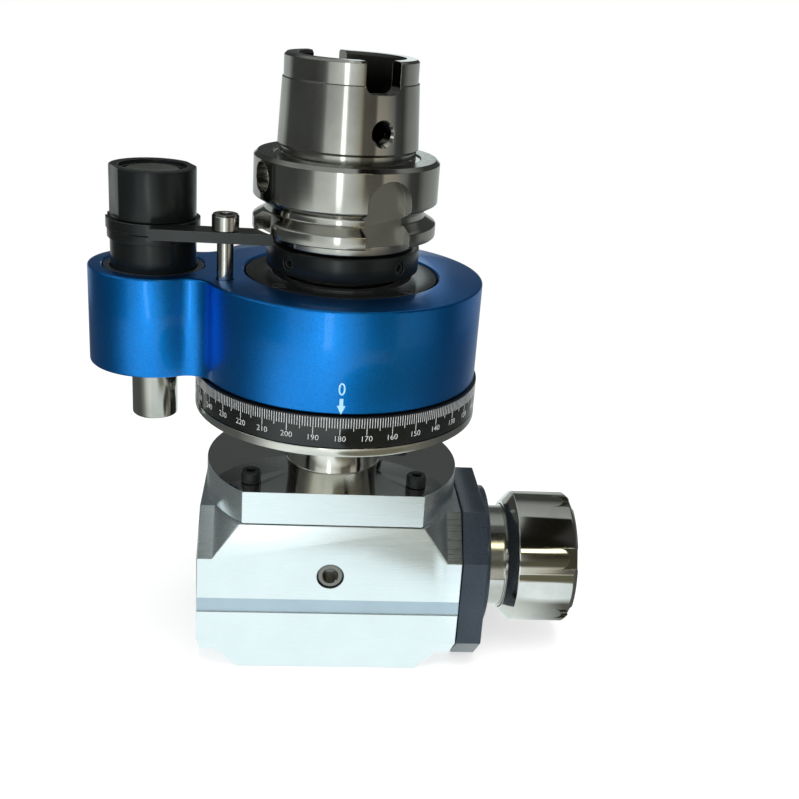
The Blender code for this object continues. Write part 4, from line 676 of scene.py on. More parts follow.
def make_gear_housing():
    """Bright gear housing with its bores, tapped holes and alignment slots."""
    housing = housing_core()
    edge = sizes().edge_break
    for label, start, end in (("rear_flange", HOUSING_LOW.x, -CORE_HALF + END_FLANGE / 2),
                              ("front_flange", CORE_HALF - END_FLANGE / 2, HOUSING_HIGH.x)):
        flange = extruded(label, end_octagon(), start, end, ALONG_X, rounding=edge)
        carve_with(housing, flange, "UNION")
    bore = turned("housing_bore", [
        (0, -0.06, 0), (COVER_SEAT_R + 0.0005, -0.06, 0), (COVER_SEAT_R + 0.0005, HOUSING_LOW.x, 0),
        (COVER_SEAT_R, HOUSING_LOW.x + 0.0005, 0), (COVER_SEAT_R, HOUSING_LOW.x + COVER_SEAT_DEPTH, 0),
        (CAVITY_R, HOUSING_LOW.x + COVER_SEAT_DEPTH, 0), (CAVITY_R, 0.06, 0), (0, 0.06, 0)], ALONG_X)
    carve_with(housing, bore)
    mouth = bmesh.new()
    add_rod(mouth, GEAR_MOUTH_R, OUTPUT_Z, HOUSING_TOP + 0.01, sides=ROUND)
    carve(housing, mouth)
    plug_hole = bmesh.new()
    across = Matrix.Translation((0, 0, PLUG_Z)) @ FRONT
    add_rod(plug_hole, PLUG_R + 0.0002, CAVITY_R * 0.8, HALF_DEPTH + 0.01, across)
    carve(housing, plug_hole)
    slots = bmesh.new()
    for side in (-1, 1):
        near, far = sorted((side * (HALF_DEPTH - SLOT_DEPTH), side * (HALF_DEPTH + 0.01)))
        add_box(slots, (-0.06, near, SLOT_MIDDLE - SLOT_WIDTH / 2), (0.06, far, SLOT_MIDDLE + SLOT_WIDTH / 2))
    carve(housing, slots)
    holes = bmesh.new()
    for angle in SCREW_ANGLES:
        add_rod(holes, 0.0022, HOUSING_TOP - 0.0065, HOUSING_TOP + 0.01, polar(SCREW_CIRCLE, angle))
    carve(housing, holes)
    front_holes = bmesh.new()
    for angle in PLATE_ANGLES:
        add_rod(front_holes, 0.0022, HOUSING_HIGH.x - 0.0103, 0.06, ALONG_X @ polar(PLATE_CIRCLE, 90 + angle))
    carve(housing, front_holes)
    dress(housing, "bright_metal", "gear_head", "gear_housing")
    paint_faces(housing, finish("slot_metal"), in_align_slot)
    plug = set_screw_mesh("front_plug_blank", PLUG_R, 0.008, 0.0024)
    place_copies(plug, ["front_plug"], [across @ Matrix.Translation((0, 0, -PLUG_LOW.y))],
                 "screw_steel", "gear_head")


def in_align_slot(face):
    """Whether a housing face is the floor of an alignment slot."""
    return (abs(face.normal.y) > 0.99 and abs(face.center.z - SLOT_MIDDLE) < SLOT_WIDTH / 2
            and HALF_DEPTH - SLOT_DEPTH * 1.5 < abs(face.center.y) < HALF_DEPTH - SLOT_DEPTH / 2)


def make_end_cover():
    """Recessed end cover with two holes for a face spanner."""
    outer, inner = END_COVER_LOW.x, END_COVER_LOW.x + 0.0031
    radius = END_COVER_HIGH.y
    cover = turned("end_cover_finished", [
        (0, outer, 0), (0.0085, outer, 0), (0.009, outer + 0.0004, 0), (0.0125, outer + 0.0004, 0),
        (0.013, outer, 0), (radius - 0.0005, outer, 0), (radius, outer + 0.0005, 0), (radius, inner, 0),
        (0.021, inner, 0), (0.021, END_COVER_HIGH.x, 0), (0.0178, END_COVER_HIGH.x, 0),
        (0.0178, inner + 0.002, 0), (0.0148, inner + 0.002, 0), (0.0148, inner, 0), (0, inner, 0)], ALONG_X)
    holes = bmesh.new()
    for angle in (90, 270):
        add_rod(holes, 0.0016, outer - 0.001, outer + 0.002, ALONG_X @ polar(0.0195, angle), 32)
    carve(cover, holes)
    dress(cover, "bright_metal", "gear_head", "end_cover")


# Swivel column and its screws

COLUMN_BOTTOM = COLUMN_LOW.z
FLANGE_TOP = COLUMN_LOW.z + 0.012
DISC_BOTTOM = FLANGE_TOP + 0.0217
DISC_TOP = DISC_BOTTOM + 0.003
HUB_TOP = COLUMN_HIGH.z
COLUMN_R = 0.046
NECK_R = 0.017
HUB_R = 0.0336
DISC_R = COLUMN_HIGH.x
NECK_FILLET = 0.0006
CLAMP_CIRCLE = 0.041
CLAMP_ANGLES = (60, 180, 300)
COVER_CIRCLE = 0.0305
COVER_ANGLES = (45, 135, 225, 315)
FLIP = Matrix.Rotation(math.pi, 4, "X")


def make_swivel_column():
    """Bolted flange, neck, polished disc and bearing hub turned in one."""
    edge = sizes().edge_break
    fillet = NECK_FILLET
    column = turned("swivel_column_finished", [
        (HUB_R, HUB_TOP, edge), (HUB_R, DISC_TOP, 0), (DISC_R, DISC_TOP, edge * 0.6),
        (DISC_R, DISC_BOTTOM, edge * 1.5), (NECK_R + fillet, DISC_BOTTOM, 0),
        *neck_fillet(DISC_BOTTOM, -1), *neck_fillet(FLANGE_TOP, 1), (NECK_R + fillet, FLANGE_TOP, 0),
        (COLUMN_R, FLANGE_TOP, edge), (COLUMN_R, COLUMN_BOTTOM, edge), (0.0178, COLUMN_BOTTOM, 0),
        (0.0178, COLUMN_BOTTOM + 0.0098, 0), (0.011, COLUMN_BOTTOM + 0.0098, 0), (0.011, DISC_TOP + 0.005, 0),
        (0.022, DISC_TOP + 0.005, 0), (0.022, HUB_TOP - 0.0263, 0), (0.0278, HUB_TOP - 0.0263, 0),
        (0.0278, HUB_TOP, 0)])
    flats = bmesh.new()
    for side in (-1, 1):
        near, far = sorted((side * COLUMN_FLAT, side * 0.06))
        add_box(flats, (-0.06, near, COLUMN_BOTTOM - 0.01), (0.06, far, FLANGE_TOP + 0.005))
    carve(column, flats)
    holes = bmesh.new()
    for angle in SCREW_ANGLES:
        add_rod(holes, 0.0022, COLUMN_BOTTOM - 0.01, FLANGE_TOP + 0.005, polar(SCREW_CIRCLE, angle))
    for angle in CLAMP_ANGLES:
        add_rod(holes, 0.0022, DISC_BOTTOM - 0.005, DISC_TOP + 0.005, polar(CLAMP_CIRCLE, angle))
    for angle in COVER_ANGLES:
        add_rod(holes, 0.0014, HUB_TOP - 0.007, HUB_TOP + 0.005, polar(COVER_CIRCLE, angle), 32)
    carve(column, holes)
    dress(column, "column_steel", "gear_head", "swivel_column")
    paint_faces(column, finish("flange_mirror"), on_flange_top)
    paint_faces(column, finish("bright_metal"), on_flange_side)
    # Painted shade: the rear underside of the disc gets black oxide so that the mirror flange top reflects it dark.
    paint_faces(column, finish("black_oxide"), under_disc)
    heads = cap_screw_mesh("column_screw_blank", 0.0035, 0.0040, 0.0016, 0.002, 0.017)
    seat = Matrix.Translation((0, 0, FLANGE_TOP + 0.0003))
    place_copies(heads, numbered("column_screw", 4), [seat @ polar(SCREW_CIRCLE, angle) for angle in SCREW_ANGLES],
                 "black_screw", "gear_head")
    bolts = cap_screw_mesh("clamp_bolt_blank", 0.0035, 0.0040, 0.0016, 0.002, 0.0215)
    hang = Matrix.Translation((0, 0, DISC_BOTTOM - 0.0003))
    place_copies(bolts, numbered("clamp_bolt", 3),
                 [hang @ polar(CLAMP_CIRCLE, angle) @ FLIP for angle in CLAMP_ANGLES],
                 "black_screw", "gear_head")


COLUMN_FLAT = 0.0334


def on_flange_top(face):
    """Whether a column face is the lapped top of the bolted flange."""
    return face.normal.z > 0.9 and abs(face.center.z - FLANGE_TOP) < 0.0001


def on_flange_side(face):
    """Whether a column face is on the edge of the bolted flange."""
    return face.center.z < FLANGE_TOP + 0.0001 and abs(face.normal.z) < 0.9


def under_disc(face):
    """Whether a column face is the rear underside of the disc, painted black as shade so that the mirror flange top
    reflects it dark.
    """
    return face.normal.z < -0.9 and abs(face.center.z - DISC_BOTTOM) < 0.0001 and face.center.y > 0


def neck_fillet(level, side):
    """Points of the fillet between the neck and a face above or below it."""
    points = []
    for step in range(7):
        angle = math.radians(90 * step / 6)
        sweep = (1 - math.sin(angle), 1 - math.cos(angle)) if side < 0 else (1 - math.cos(angle), 1 - math.sin(angle))
        across, down = sweep
        points.append((NECK_R + NECK_FILLET * across, level + side * NECK_FILLET * down, 0))
    return points[1:-1]


def numbered(name, count):
    """Names of like nodes."""
    return [f"{name}_{index}" for index in range(1, count + 1)]


# Graduated ring and marks

NUMBER_ZERO_ANGLE = 450
RING_NUMBER_DROP = 0.0074
MARK_PROUD = 0.00002
MARK_SUNK = 0.0002
RING_R = RING_HIGH.x - MARK_PROUD * 1.5


def make_graduated_ring():
    """Gloss black ring with a tick at every degree and a number at every tenth."""
    ring = turned("graduated_ring_finished", [
        (0.034, RING_LOW.z, 0), (RING_R, RING_LOW.z, 0.0002), (RING_R, RING_HIGH.z, 0.0003),
        (0.034, RING_HIGH.z, 0)], steps=ROUND * 2)
    holes = bmesh.new()
    for angle in CLAMP_ANGLES:
        add_rod(holes, 0.0022, RING_LOW.z - 0.001, RING_HIGH.z + 0.001, polar(CLAMP_CIRCLE, angle))
    carve(ring, holes)
    dress(ring, "gloss_black", "gear_head", "graduated_ring")
    ticks = bmesh.new()
    outer = RING_R + MARK_PROUD
    for degree in range(360):
        length = sizes().tick_short
        if degree % 10 == 0:
            length = sizes().tick_long
        elif degree % 5 == 0:
            length = sizes().tick_middle
        half = sizes().tick_width / 2
        add_box(ticks, (outer - MARK_SUNK, -half, RING_HIGH.z - length), (outer, half, RING_HIGH.z - 0.0004),
                spun(degree))
    marks = link_mesh("ring_ticks", ticks)
    dress(marks, "mark_paint", "gear_head")
    step = sizes().number_step
    numbers = bmesh.new()
    for value in range(0, 360, step):
        add_text(numbers, str(value), sizes().number_height, RING_R, NUMBER_ZERO_ANGLE - value,
                 RING_HIGH.z - RING_NUMBER_DROP)
    figures = link_mesh("ring_numbers", numbers)
    dress(figures, "mark_paint", "gear_head")


def add_text(bm, text, height, radius, degrees, level):
    """Raised text wrapped round a cylinder, centred at an angle and a height."""
    curve = bpy.data.curves.new("figure", "FONT")
    curve.body = text
    curve.size = height / 0.7
    curve.align_x = "CENTER"
    curve.extrude = (MARK_SUNK + MARK_PROUD) / 2
    curve.offset = -height * 0.02
    curve.resolution_u = 3
    blank = bpy.data.objects.new("figure", curve)
    bpy.context.scene.collection.objects.link(blank)
    bpy.context.view_layer.update()
    mesh = bpy.data.meshes.new_from_object(blank.evaluated_get(bpy.context.evaluated_depsgraph_get()))
    middle = radius + (MARK_PROUD - MARK_SUNK) / 2
    for vert in mesh.vertices:
        angle = math.radians(degrees) + vert.co.x / radius
        reach = middle + vert.co.z
        vert.co = (reach * math.cos(angle), reach * math.sin(angle), level - height / 2 + vert.co.y)
    bm.from_mesh(mesh)
    bpy.data.objects.remove(blank, do_unlink=True)
    bpy.data.curves.remove(curve)


# Bearing cover, seal and spindle collar

def make_bearing_cover():
    """Black cover over the upper bearing with its countersunk screws and lip seal."""
    inner, outer = 0.0243, COVER_HIGH.x
    cover = turned("bearing_cover_finished", [
        (inner, COVER_LOW.z, 0), (outer, COVER_LOW.z, 0), (outer, COVER_HIGH.z, 0.0003),
        (inner, COVER_HIGH.z, 0.0003)])
    holes = bmesh.new()
    for angle in COVER_ANGLES:
        add_rod(holes, 0.0014, COVER_LOW.z - 0.001, COVER_HIGH.z + 0.001, polar(COVER_CIRCLE, angle), 32)
    carve(cover, holes)
    pockets = bmesh.new()
    for angle in COVER_ANGLES:
        add_rod(pockets, 0.0025, COVER_HIGH.z - 0.0018, COVER_HIGH.z + 0.001, polar(COVER_CIRCLE, angle), 32)
    carve(cover, pockets)
    dress(cover, "black_oxide", "gear_head", "bearing_cover")
    heads = cap_screw_mesh("cover_screw_blank", 0.0022, 0.0015, 0.0009, 0.00125, 0.006)
    seat = Matrix.Translation((0, 0, COVER_HIGH.z - 0.0015))
    place_copies(heads, numbered("cover_screw", 4), [seat @ polar(COVER_CIRCLE, angle) for angle in COVER_ANGLES],
                 "black_screw", "gear_head")
    low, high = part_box("spindle_seal")
    seal = turned("spindle_seal_finished", [
        (0.0203, low.z, 0), (high.x, low.z, 0), (high.x, high.z, 0.0002), (0.0226, high.z, 0.0002),
        (0.0222, high.z - 0.0008, 0.0002), (0.0212, high.z - 0.0008, 0.0002), (0.0203, high.z, 0.0002)])
    dress(seal, "seal_rubber", "gear_head", "spindle_seal")


def make_spindle_collar():
    """Black collar under the shank with its two radial set screws."""
    middle = (COLLAR_LOW.z + COLLAR_HIGH.z) / 2
    collar = turned("spindle_collar_finished", [
        (0.0203, COLLAR_LOW.z, 0), (COLLAR_HIGH.x, COLLAR_LOW.z, 0.0006), (COLLAR_HIGH.x, COLLAR_HIGH.z, 0.0006),
        (0.0203, COLLAR_HIGH.z, 0)])
    holes = bmesh.new()
    for angle in COLLAR_ANGLES:
        add_rod(holes, 0.0022, 0.015, 0.03, outward(angle, middle), 48)
    carve(collar, holes)
    dress(collar, "black_oxide", "input_spindle", "spindle_collar")
    blank = set_screw_mesh("collar_screw_blank", 0.002, 0.0055, 0.0011)
    places = [outward(angle, middle) @ Matrix.Translation((0, 0, COLLAR_HIGH.x - 0.0005)) for angle in COLLAR_ANGLES]
    place_copies(blank, numbered("collar_screw", 2), places, "black_screw", "input_spindle")


COLLAR_ANGLES = (-45, 225)


# Stop housing

BIG_R = STOP_HIGH.x
LOBE_R = -STOP_LOW.x + PIN_AXIS_X
LOBE_FILLET = 0.008
LOBE_BORE_R = 0.0175
LOBE_FLOOR = STOP_LOW.z + 0.0055
STOP_BORE_R = 0.034
PIN_TAIL_R = 0.008
SLOT_LIP = 0.0033
SLOT_HEIGHT = 0.0045


def stop_outline():
    """Big circle and lobe joined by two concave fillets."""
    reach = -PIN_AXIS_X
    to_big = BIG_R + LOBE_FILLET
    to_lobe = LOBE_R + LOBE_FILLET
    fillet_x = -(to_big ** 2 - to_lobe ** 2 + reach ** 2) / (2 * reach)
    fillet_y = math.sqrt(to_big ** 2 - fillet_x ** 2)
    big_end = math.atan2(fillet_y, fillet_x)
    lobe_end = math.atan2(fillet_y, fillet_x + reach)
    points = arc((0, 0), BIG_R, -big_end, big_end, 140)[:-1]
    points += arc((fillet_x, fillet_y), LOBE_FILLET, big_end - math.pi, lobe_end - math.pi, 16)[:-1]
    points += arc((-reach, 0), LOBE_R, lobe_end, math.tau - lobe_end, 80)[:-1]
    points += arc((fillet_x, -fillet_y), LOBE_FILLET, math.pi - lobe_end, math.pi - big_end, 16)[:-1]
    return points


def make_stop_housing():
    """Enamelled stop housing with spindle bore, clamp slot, pin bore and post hole."""
    housing = extruded("stop_housing_finished", stop_outline(), STOP_LOW.z, STOP_HIGH.z,
                       rounding=sizes().enamel_round)
    bore = turned("stop_bore_tool", [
        (0, STOP_LOW.z - 0.01, 0), (STOP_BORE_R, STOP_LOW.z - 0.01, 0), (STOP_BORE_R, STOP_HIGH.z - 0.0006, 0),
        (STOP_BORE_R + 0.0006, STOP_HIGH.z, 0), (STOP_BORE_R + 0.0006, STOP_HIGH.z + 0.01, 0),
        (0, STOP_HIGH.z + 0.01, 0)])
    carve_with(housing, bore)
    low, lip = STOP_LOW.z - 0.005, STOP_LOW.z + SLOT_LIP
    slot = turned("clamp_slot_tool", [
        (0.0451, lip + SLOT_HEIGHT, 0), (0.0451, lip, 0), (0.0435, lip, 0), (0.0435, low, 0),
        (0.0385, low, 0), (0.0385, lip, 0), (0.0369, lip, 0), (0.0369, lip + SLOT_HEIGHT, 0)])
    carve_with(housing, slot)
    lobe = turned("lobe_bore_tool", [
        (0, STOP_LOW.z - 0.01, 0), (PIN_TAIL_R + 0.0003, STOP_LOW.z - 0.01, 0), (PIN_TAIL_R + 0.0003, LOBE_FLOOR, 0),
        (LOBE_BORE_R, LOBE_FLOOR, 0), (LOBE_BORE_R, STOP_HIGH.z - 0.0005, 0),
        (LOBE_BORE_R + 0.0005, STOP_HIGH.z, 0), (LOBE_BORE_R + 0.0005, STOP_HIGH.z + 0.01, 0),
        (0, STOP_HIGH.z + 0.01, 0)], AT_PIN)
    carve_with(housing, lobe)
    post = bmesh.new()
    add_rod(post, POST_HIGH.x - POST_AXIS.x + 0.0003, POST_LOW.z - 0.0075, STOP_HIGH.z + 0.01, AT_POST)
    carve(housing, post)
    cross = bmesh.new()
    level = AT_PIN @ outward(90, STOP_LOW.z + 0.00275)
    add_rod(cross, 0.0022, PIN_TAIL_R, LOBE_R + 0.01, level, 48)
    carve(housing, cross)
    dress(housing, "blue_enamel", "stop_unit", "stop_housing")
    blank = set_screw_mesh("pin_screw_blank", 0.002, 0.0132, 0.0011)
    place_copies(blank, ["pin_set_screw"], [level @ Matrix.Translation((0, 0, LOBE_R - 0.0008))],
                 "black_screw", "stop_unit")
    make_zero_mark()


def make_zero_mark():
    """The figure zero over an arrow that points at the ring."""
    marks = bmesh.new()
    add_ellipse_ring(marks, 0.0011, 0.0021, 0.0005, STOP_LOW.z + 0.0089)
    arrow = [(-0.0006, 0.0056), (0.0006, 0.0056), (0.0006, 0.0032), (0.0014, 0.0032), (0, 0.0002),
             (-0.0014, 0.0032), (-0.0006, 0.0032)]
    add_wrapped_plate(marks, [(x, STOP_LOW.z + z) for x, z in arrow])
    mark = link_mesh("zero_mark", marks)
    dress(mark, "pale_mark", "stop_unit")


def wrapped(across, level, reach):
    """A place on the front of the stop housing, measured round its face."""
    angle = -math.pi / 2 + across / BIG_R
    return reach * math.cos(angle), reach * math.sin(angle), level


def add_wrapped_plate(bm, outline):
    """A thin plate that follows the round front of the stop housing."""
    front = [bm.verts.new(wrapped(x, z, BIG_R + MARK_PROUD)) for x, z in outline]
    back = [bm.verts.new(wrapped(x, z, BIG_R - MARK_SUNK)) for x, z in outline]
    bm.faces.new(front)
    bm.faces.new(back[::-1])
    for index in range(len(outline)):
        after = (index + 1) % len(outline)
        bm.faces.new((front[index], back[index], back[after], front[after]))


def add_ellipse_ring(bm, half_width, half_height, stroke, level):
    """A figure zero as a band between two ellipses on the round front."""
    steps = 32
    loops = []
    for grow, reach in ((0, MARK_PROUD), (-stroke, MARK_PROUD), (-stroke, -MARK_SUNK), (0, -MARK_SUNK)):
        loop = []
        for step in range(steps):
            angle = math.tau * step / steps
            loop.append(bm.verts.new(wrapped((half_width + grow) * math.cos(angle),
                                             level + (half_height + grow) * math.sin(angle), BIG_R + reach)))
        loops.append(loop)
    for loop, following in zip(loops, loops[1:] + loops[:1]):
        for step in range(steps):
            after = (step + 1) % steps
            bm.faces.new((loop[step], loop[after], following[after], following[step]))


# Locating pin, sleeve, spring and arm

PIN_R = 0.009
SLEEVE_R = 0.0146
SLEEVE_GROOVE_R = 0.0132
SLEEVE_MOUTH_R = 0.0114
SLEEVE_SHOULDER_R = (SLEEVE_HIGH.x - SLEEVE_LOW.x) / 2
SLEEVE_FLAT = 0.01354
SLEEVE_FLAT_ANGLES = (26, -154)
ARM_RING_R = 0.0159
ARM_WIDTH = 0.009
ARM_Y = POST_AXIS.y


def make_locating_pin():
    """Ground locating pin with its tail under the stop housing, and the sleeve bush."""
    pin = turned("locating_pin_finished", [
        (0, PIN_HIGH.z, 0), (PIN_R, PIN_HIGH.z, 0.0006), (PIN_R, LOBE_FLOOR + 0.0003, 0),
        (PIN_TAIL_R, LOBE_FLOOR + 0.0003, 0), (PIN_TAIL_R, PIN_LOW.z, 0.001), (0, PIN_LOW.z, 0)],
        AT_PIN, 96)
    dress(pin, "pin_steel", "stop_unit", "locating_pin")
    paint_faces(pin, finish("milled_steel"), lambda face: face.normal.z > 0.9 and face.center.z > PIN_HIGH.z - 0.0001)
    bush = turned("sleeve_bush_finished", [
        (SLEEVE_R + 0.0003, BUSH_LOW.z, 0), (LOBE_BORE_R - 0.0003, BUSH_LOW.z, 0),
        (LOBE_BORE_R - 0.0003, BUSH_HIGH.z, 0.0004), (SLEEVE_R + 0.0003, BUSH_HIGH.z, 0.0004)], AT_PIN)
    dress(bush, "dark_plate", "stop_unit", "sleeve_bush")


def make_locking_sleeve():
    """Black sleeve with its mouth, arm groove and shoulder."""
    sleeve = turned("locking_sleeve_finished", [
        (SLEEVE_MOUTH_R, SLEEVE_HIGH.z, 0.0003), (SLEEVE_R, SLEEVE_HIGH.z, 0.0005),
        (SLEEVE_R, ARM_HIGH.z + 0.0003, 0.0003), (SLEEVE_GROOVE_R, ARM_HIGH.z + 0.0003, 0),
        (SLEEVE_GROOVE_R, ARM_LOW.z - 0.0003, 0), (SLEEVE_SHOULDER_R, ARM_LOW.z - 0.0003, 0.0004),
        (SLEEVE_SHOULDER_R, ARM_LOW.z - 0.0035, 0.0004), (SLEEVE_R, ARM_LOW.z - 0.0035, 0),
        (SLEEVE_R, SLEEVE_LOW.z, 0.0004), (PIN_R + 0.0003, SLEEVE_LOW.z, 0),
        (PIN_R + 0.0003, SLEEVE_HIGH.z - 0.0016, 0), (SLEEVE_MOUTH_R, SLEEVE_HIGH.z - 0.0016, 0)], AT_PIN)
    flats = bmesh.new()
    for angle in SLEEVE_FLAT_ANGLES:
        add_box(flats, (SLEEVE_FLAT, -SLEEVE_R, ARM_HIGH.z + 0.0003), (SLEEVE_R + 0.001, SLEEVE_R, SLEEVE_HIGH.z + 0.001),
                spun(angle))
    carve(sleeve, flats, AT_PIN)
    dress(sleeve, "black_oxide", "lock_unit", "locking_sleeve")


def make_return_spring():
    """Round wire spring coiled under the sleeve."""
    turns, per_turn, around = 4, 36, 12
    low, high = SPRING_LOW.z + 0.001, SPRING_HIGH.z - 0.001
    wire, radius = 0.00098, 0.0119
    bm = bmesh.new()
    rings = []
    for index in range(turns * per_turn + 1):
        angle = math.tau * index / per_turn
        rise = low + (high - low) * index / (turns * per_turn)
        centre = Vector((PIN_AXIS_X + radius * math.cos(angle), radius * math.sin(angle), rise))
        out = Vector((math.cos(angle), math.sin(angle), 0))
        rings.append([bm.verts.new(centre + wire * (out * math.cos(turn) + Vector((0, 0, math.sin(turn)))))
                      for turn in (math.tau * step / around for step in range(around))])
    for ring, following in zip(rings, rings[1:]):
        for step in range(around):
            after = (step + 1) % around
            bm.faces.new((ring[step], ring[after], following[after], following[step]))
    bm.faces.new(rings[0])
    bm.faces.new(rings[-1][::-1])
    spring = link_mesh("return_spring_finished", bm)
    dress(spring, "spring_wire", "stop_unit", "return_spring")
    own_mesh(spring)


def make_locking_arm():
    """Split ring with a flat bar that reaches the shank flange, its screw and guide post."""
    bm = bmesh.new()
    add_rod(bm, ARM_RING_R, ARM_LOW.z, ARM_HIGH.z, AT_PIN, ROUND)
    arm = link_mesh("locking_arm_finished", bm)
    bar = bmesh.new()
    add_box(bar, (PIN_AXIS_X + 0.001, ARM_Y - ARM_WIDTH / 2, ARM_LOW.z), (0, ARM_Y + ARM_WIDTH / 2, ARM_HIGH.z))
    carve(arm, bar, operation="UNION")
    bore = bmesh.new()
    add_rod(bore, SLEEVE_GROOVE_R + 0.0003, ARM_LOW.z - 0.001, ARM_HIGH.z + 0.001, AT_PIN, ROUND)
    carve(arm, bore)
    cuts = bmesh.new()
    add_box(cuts, (PIN_AXIS_X - 0.03, -0.002, ARM_LOW.z - 0.001), (PIN_AXIS_X, 0.002, ARM_HIGH.z + 0.001))
    carve(arm, cuts)
    relief = bmesh.new()
    add_rod(relief, 0.0319, ARM_LOW.z - 0.001, ARM_HIGH.z + 0.001, sides=ROUND)
    carve(arm, relief)
    hole = bmesh.new()
    add_rod(hole, 0.0018, ARM_LOW.z - 0.001, ARM_HIGH.z + 0.001, AT_POST, 32)
    carve(arm, hole)
    dress(arm, "black_oxide", "lock_unit", "locking_arm")
    head = ARM_SCREW_HIGH.x - POST_AXIS.x
    screw = cap_screw_mesh("arm_screw_blank", head, ARM_SCREW_HIGH.z - ARM_HIGH.z - 0.0003, 0.0021, 0.0015, 0.011)
    place_copies(screw, ["arm_screw"], [AT_POST @ Matrix.Translation((0, 0, ARM_HIGH.z + 0.0003))],
                 "pin_steel", "lock_unit")
    radius = POST_HIGH.x - POST_AXIS.x
    post = turned("guide_post_finished", [
        (radius, POST_HIGH.z, 0.0002), (radius, POST_LOW.z, 0.0006), (0, POST_LOW.z, 0),
        (0, POST_HIGH.z - 0.0095, 0), (0.0018, POST_HIGH.z - 0.009, 0), (0.0018, POST_HIGH.z, 0)], AT_POST,
        SMALL_ROUND)
    dress(post, "pin_steel", "lock_unit", "guide_post")


# Taper shank

FLANGE_R = SHANK_HIGH.y
MOUTH_Z = SHANK_HIGH.z
FLANGE_BOTTOM = FLANGE_FACE - 0.026
SKIRT_R = 0.0245
TAPER_R = 0.024
TAPER_TOP_R = 0.0224
BORE_R = 0.017
CLAMP_GROOVE_R = 0.0185
GROOVE_MIDDLE = FLANGE_FACE - 0.018
GROOVE_HALF = 0.0036
GROOVE_DEPTH = 0.0042
KEY_ANGLE = -64
KEY_WIDTH = 0.01254
KEY_DEPTH = 0.0102
NOTCH_WIDTH = 0.016
NOTCH_FLAT = 0.0265
NOTCH_TOP = FLANGE_FACE - 0.0038
LOCK_ANGLE = -154


def shank_section():
    """Half section of the hollow taper shank, outer side first."""
    edge = sizes().edge_break
    flank = GROOVE_DEPTH * GROOVE_FLANK
    groove_top, groove_low = GROOVE_MIDDLE + GROOVE_HALF, GROOVE_MIDDLE - GROOVE_HALF
    relief = MOUTH_Z - 0.0075
    floor = FLANGE_FACE - 0.006
    return [
        (TAPER_TOP_R - 0.0009, MOUTH_Z, 0), (TAPER_TOP_R - 0.0001, MOUTH_Z - 0.0008, 0),
        (TAPER_TOP_R - 0.0001, relief, 0), (TAPER_TOP_R + 0.00035, relief - 0.0002, 0),
        (TAPER_R - 0.0002, FLANGE_FACE + 0.0032, 0), (TAPER_R - 0.0009, FLANGE_FACE + 0.0024, 0),
        (TAPER_R - 0.0009, FLANGE_FACE - 0.0005, 0), (TAPER_R + 0.0006, FLANGE_FACE - 0.0005, 0),
        (TAPER_R + 0.0010, FLANGE_FACE, 0), (FLANGE_R - 0.0013, FLANGE_FACE, 0),
        (FLANGE_R, FLANGE_FACE - 0.0013, 0), (FLANGE_R, groove_top, edge),
        (FLANGE_R - GROOVE_DEPTH, groove_top - flank, edge), (FLANGE_R - GROOVE_DEPTH, groove_low + flank, edge),
        (FLANGE_R, groove_low, edge), (FLANGE_R, FLANGE_BOTTOM, 0.0008),
        (SKIRT_R, FLANGE_BOTTOM, 0), (SKIRT_R, SHANK_LOW.z, edge),
        (0.0123, SHANK_LOW.z, 0), (0.0123, SHANK_LOW.z + 0.0137, 0), (0.0043, SHANK_LOW.z + 0.0137, 0),
        (0.0043, floor, 0), (CLAMP_GROOVE_R - 0.001, floor, 0), (CLAMP_GROOVE_R, floor + 0.001, 0),
        (CLAMP_GROOVE_R, FLANGE_FACE + 0.0140, 0), (BORE_R, FLANGE_FACE + 0.0166, 0),
        (BORE_R, MOUTH_Z - 0.0010, 0), (BORE_R + 0.0010, MOUTH_Z, 0),
    ]


def slot_tool(name, width, round_centre, open_end, floor, angle, frame_place=UP):
    """A radial slot tool: round at one end along the axis and open at the other."""
    side = 1 if open_end < round_centre else -1
    outline = arc((-round_centre, 0), width / 2, side * math.pi / 2, side * math.pi * 1.5, 24)
    outline += [Vector((-open_end, -side * width / 2)), Vector((-open_end, side * width / 2))]
    place = frame_place @ spun(angle) @ Matrix.Rotation(math.radians(90), 4, "Y")
    return extruded(name, outline, floor, 0.06, place)


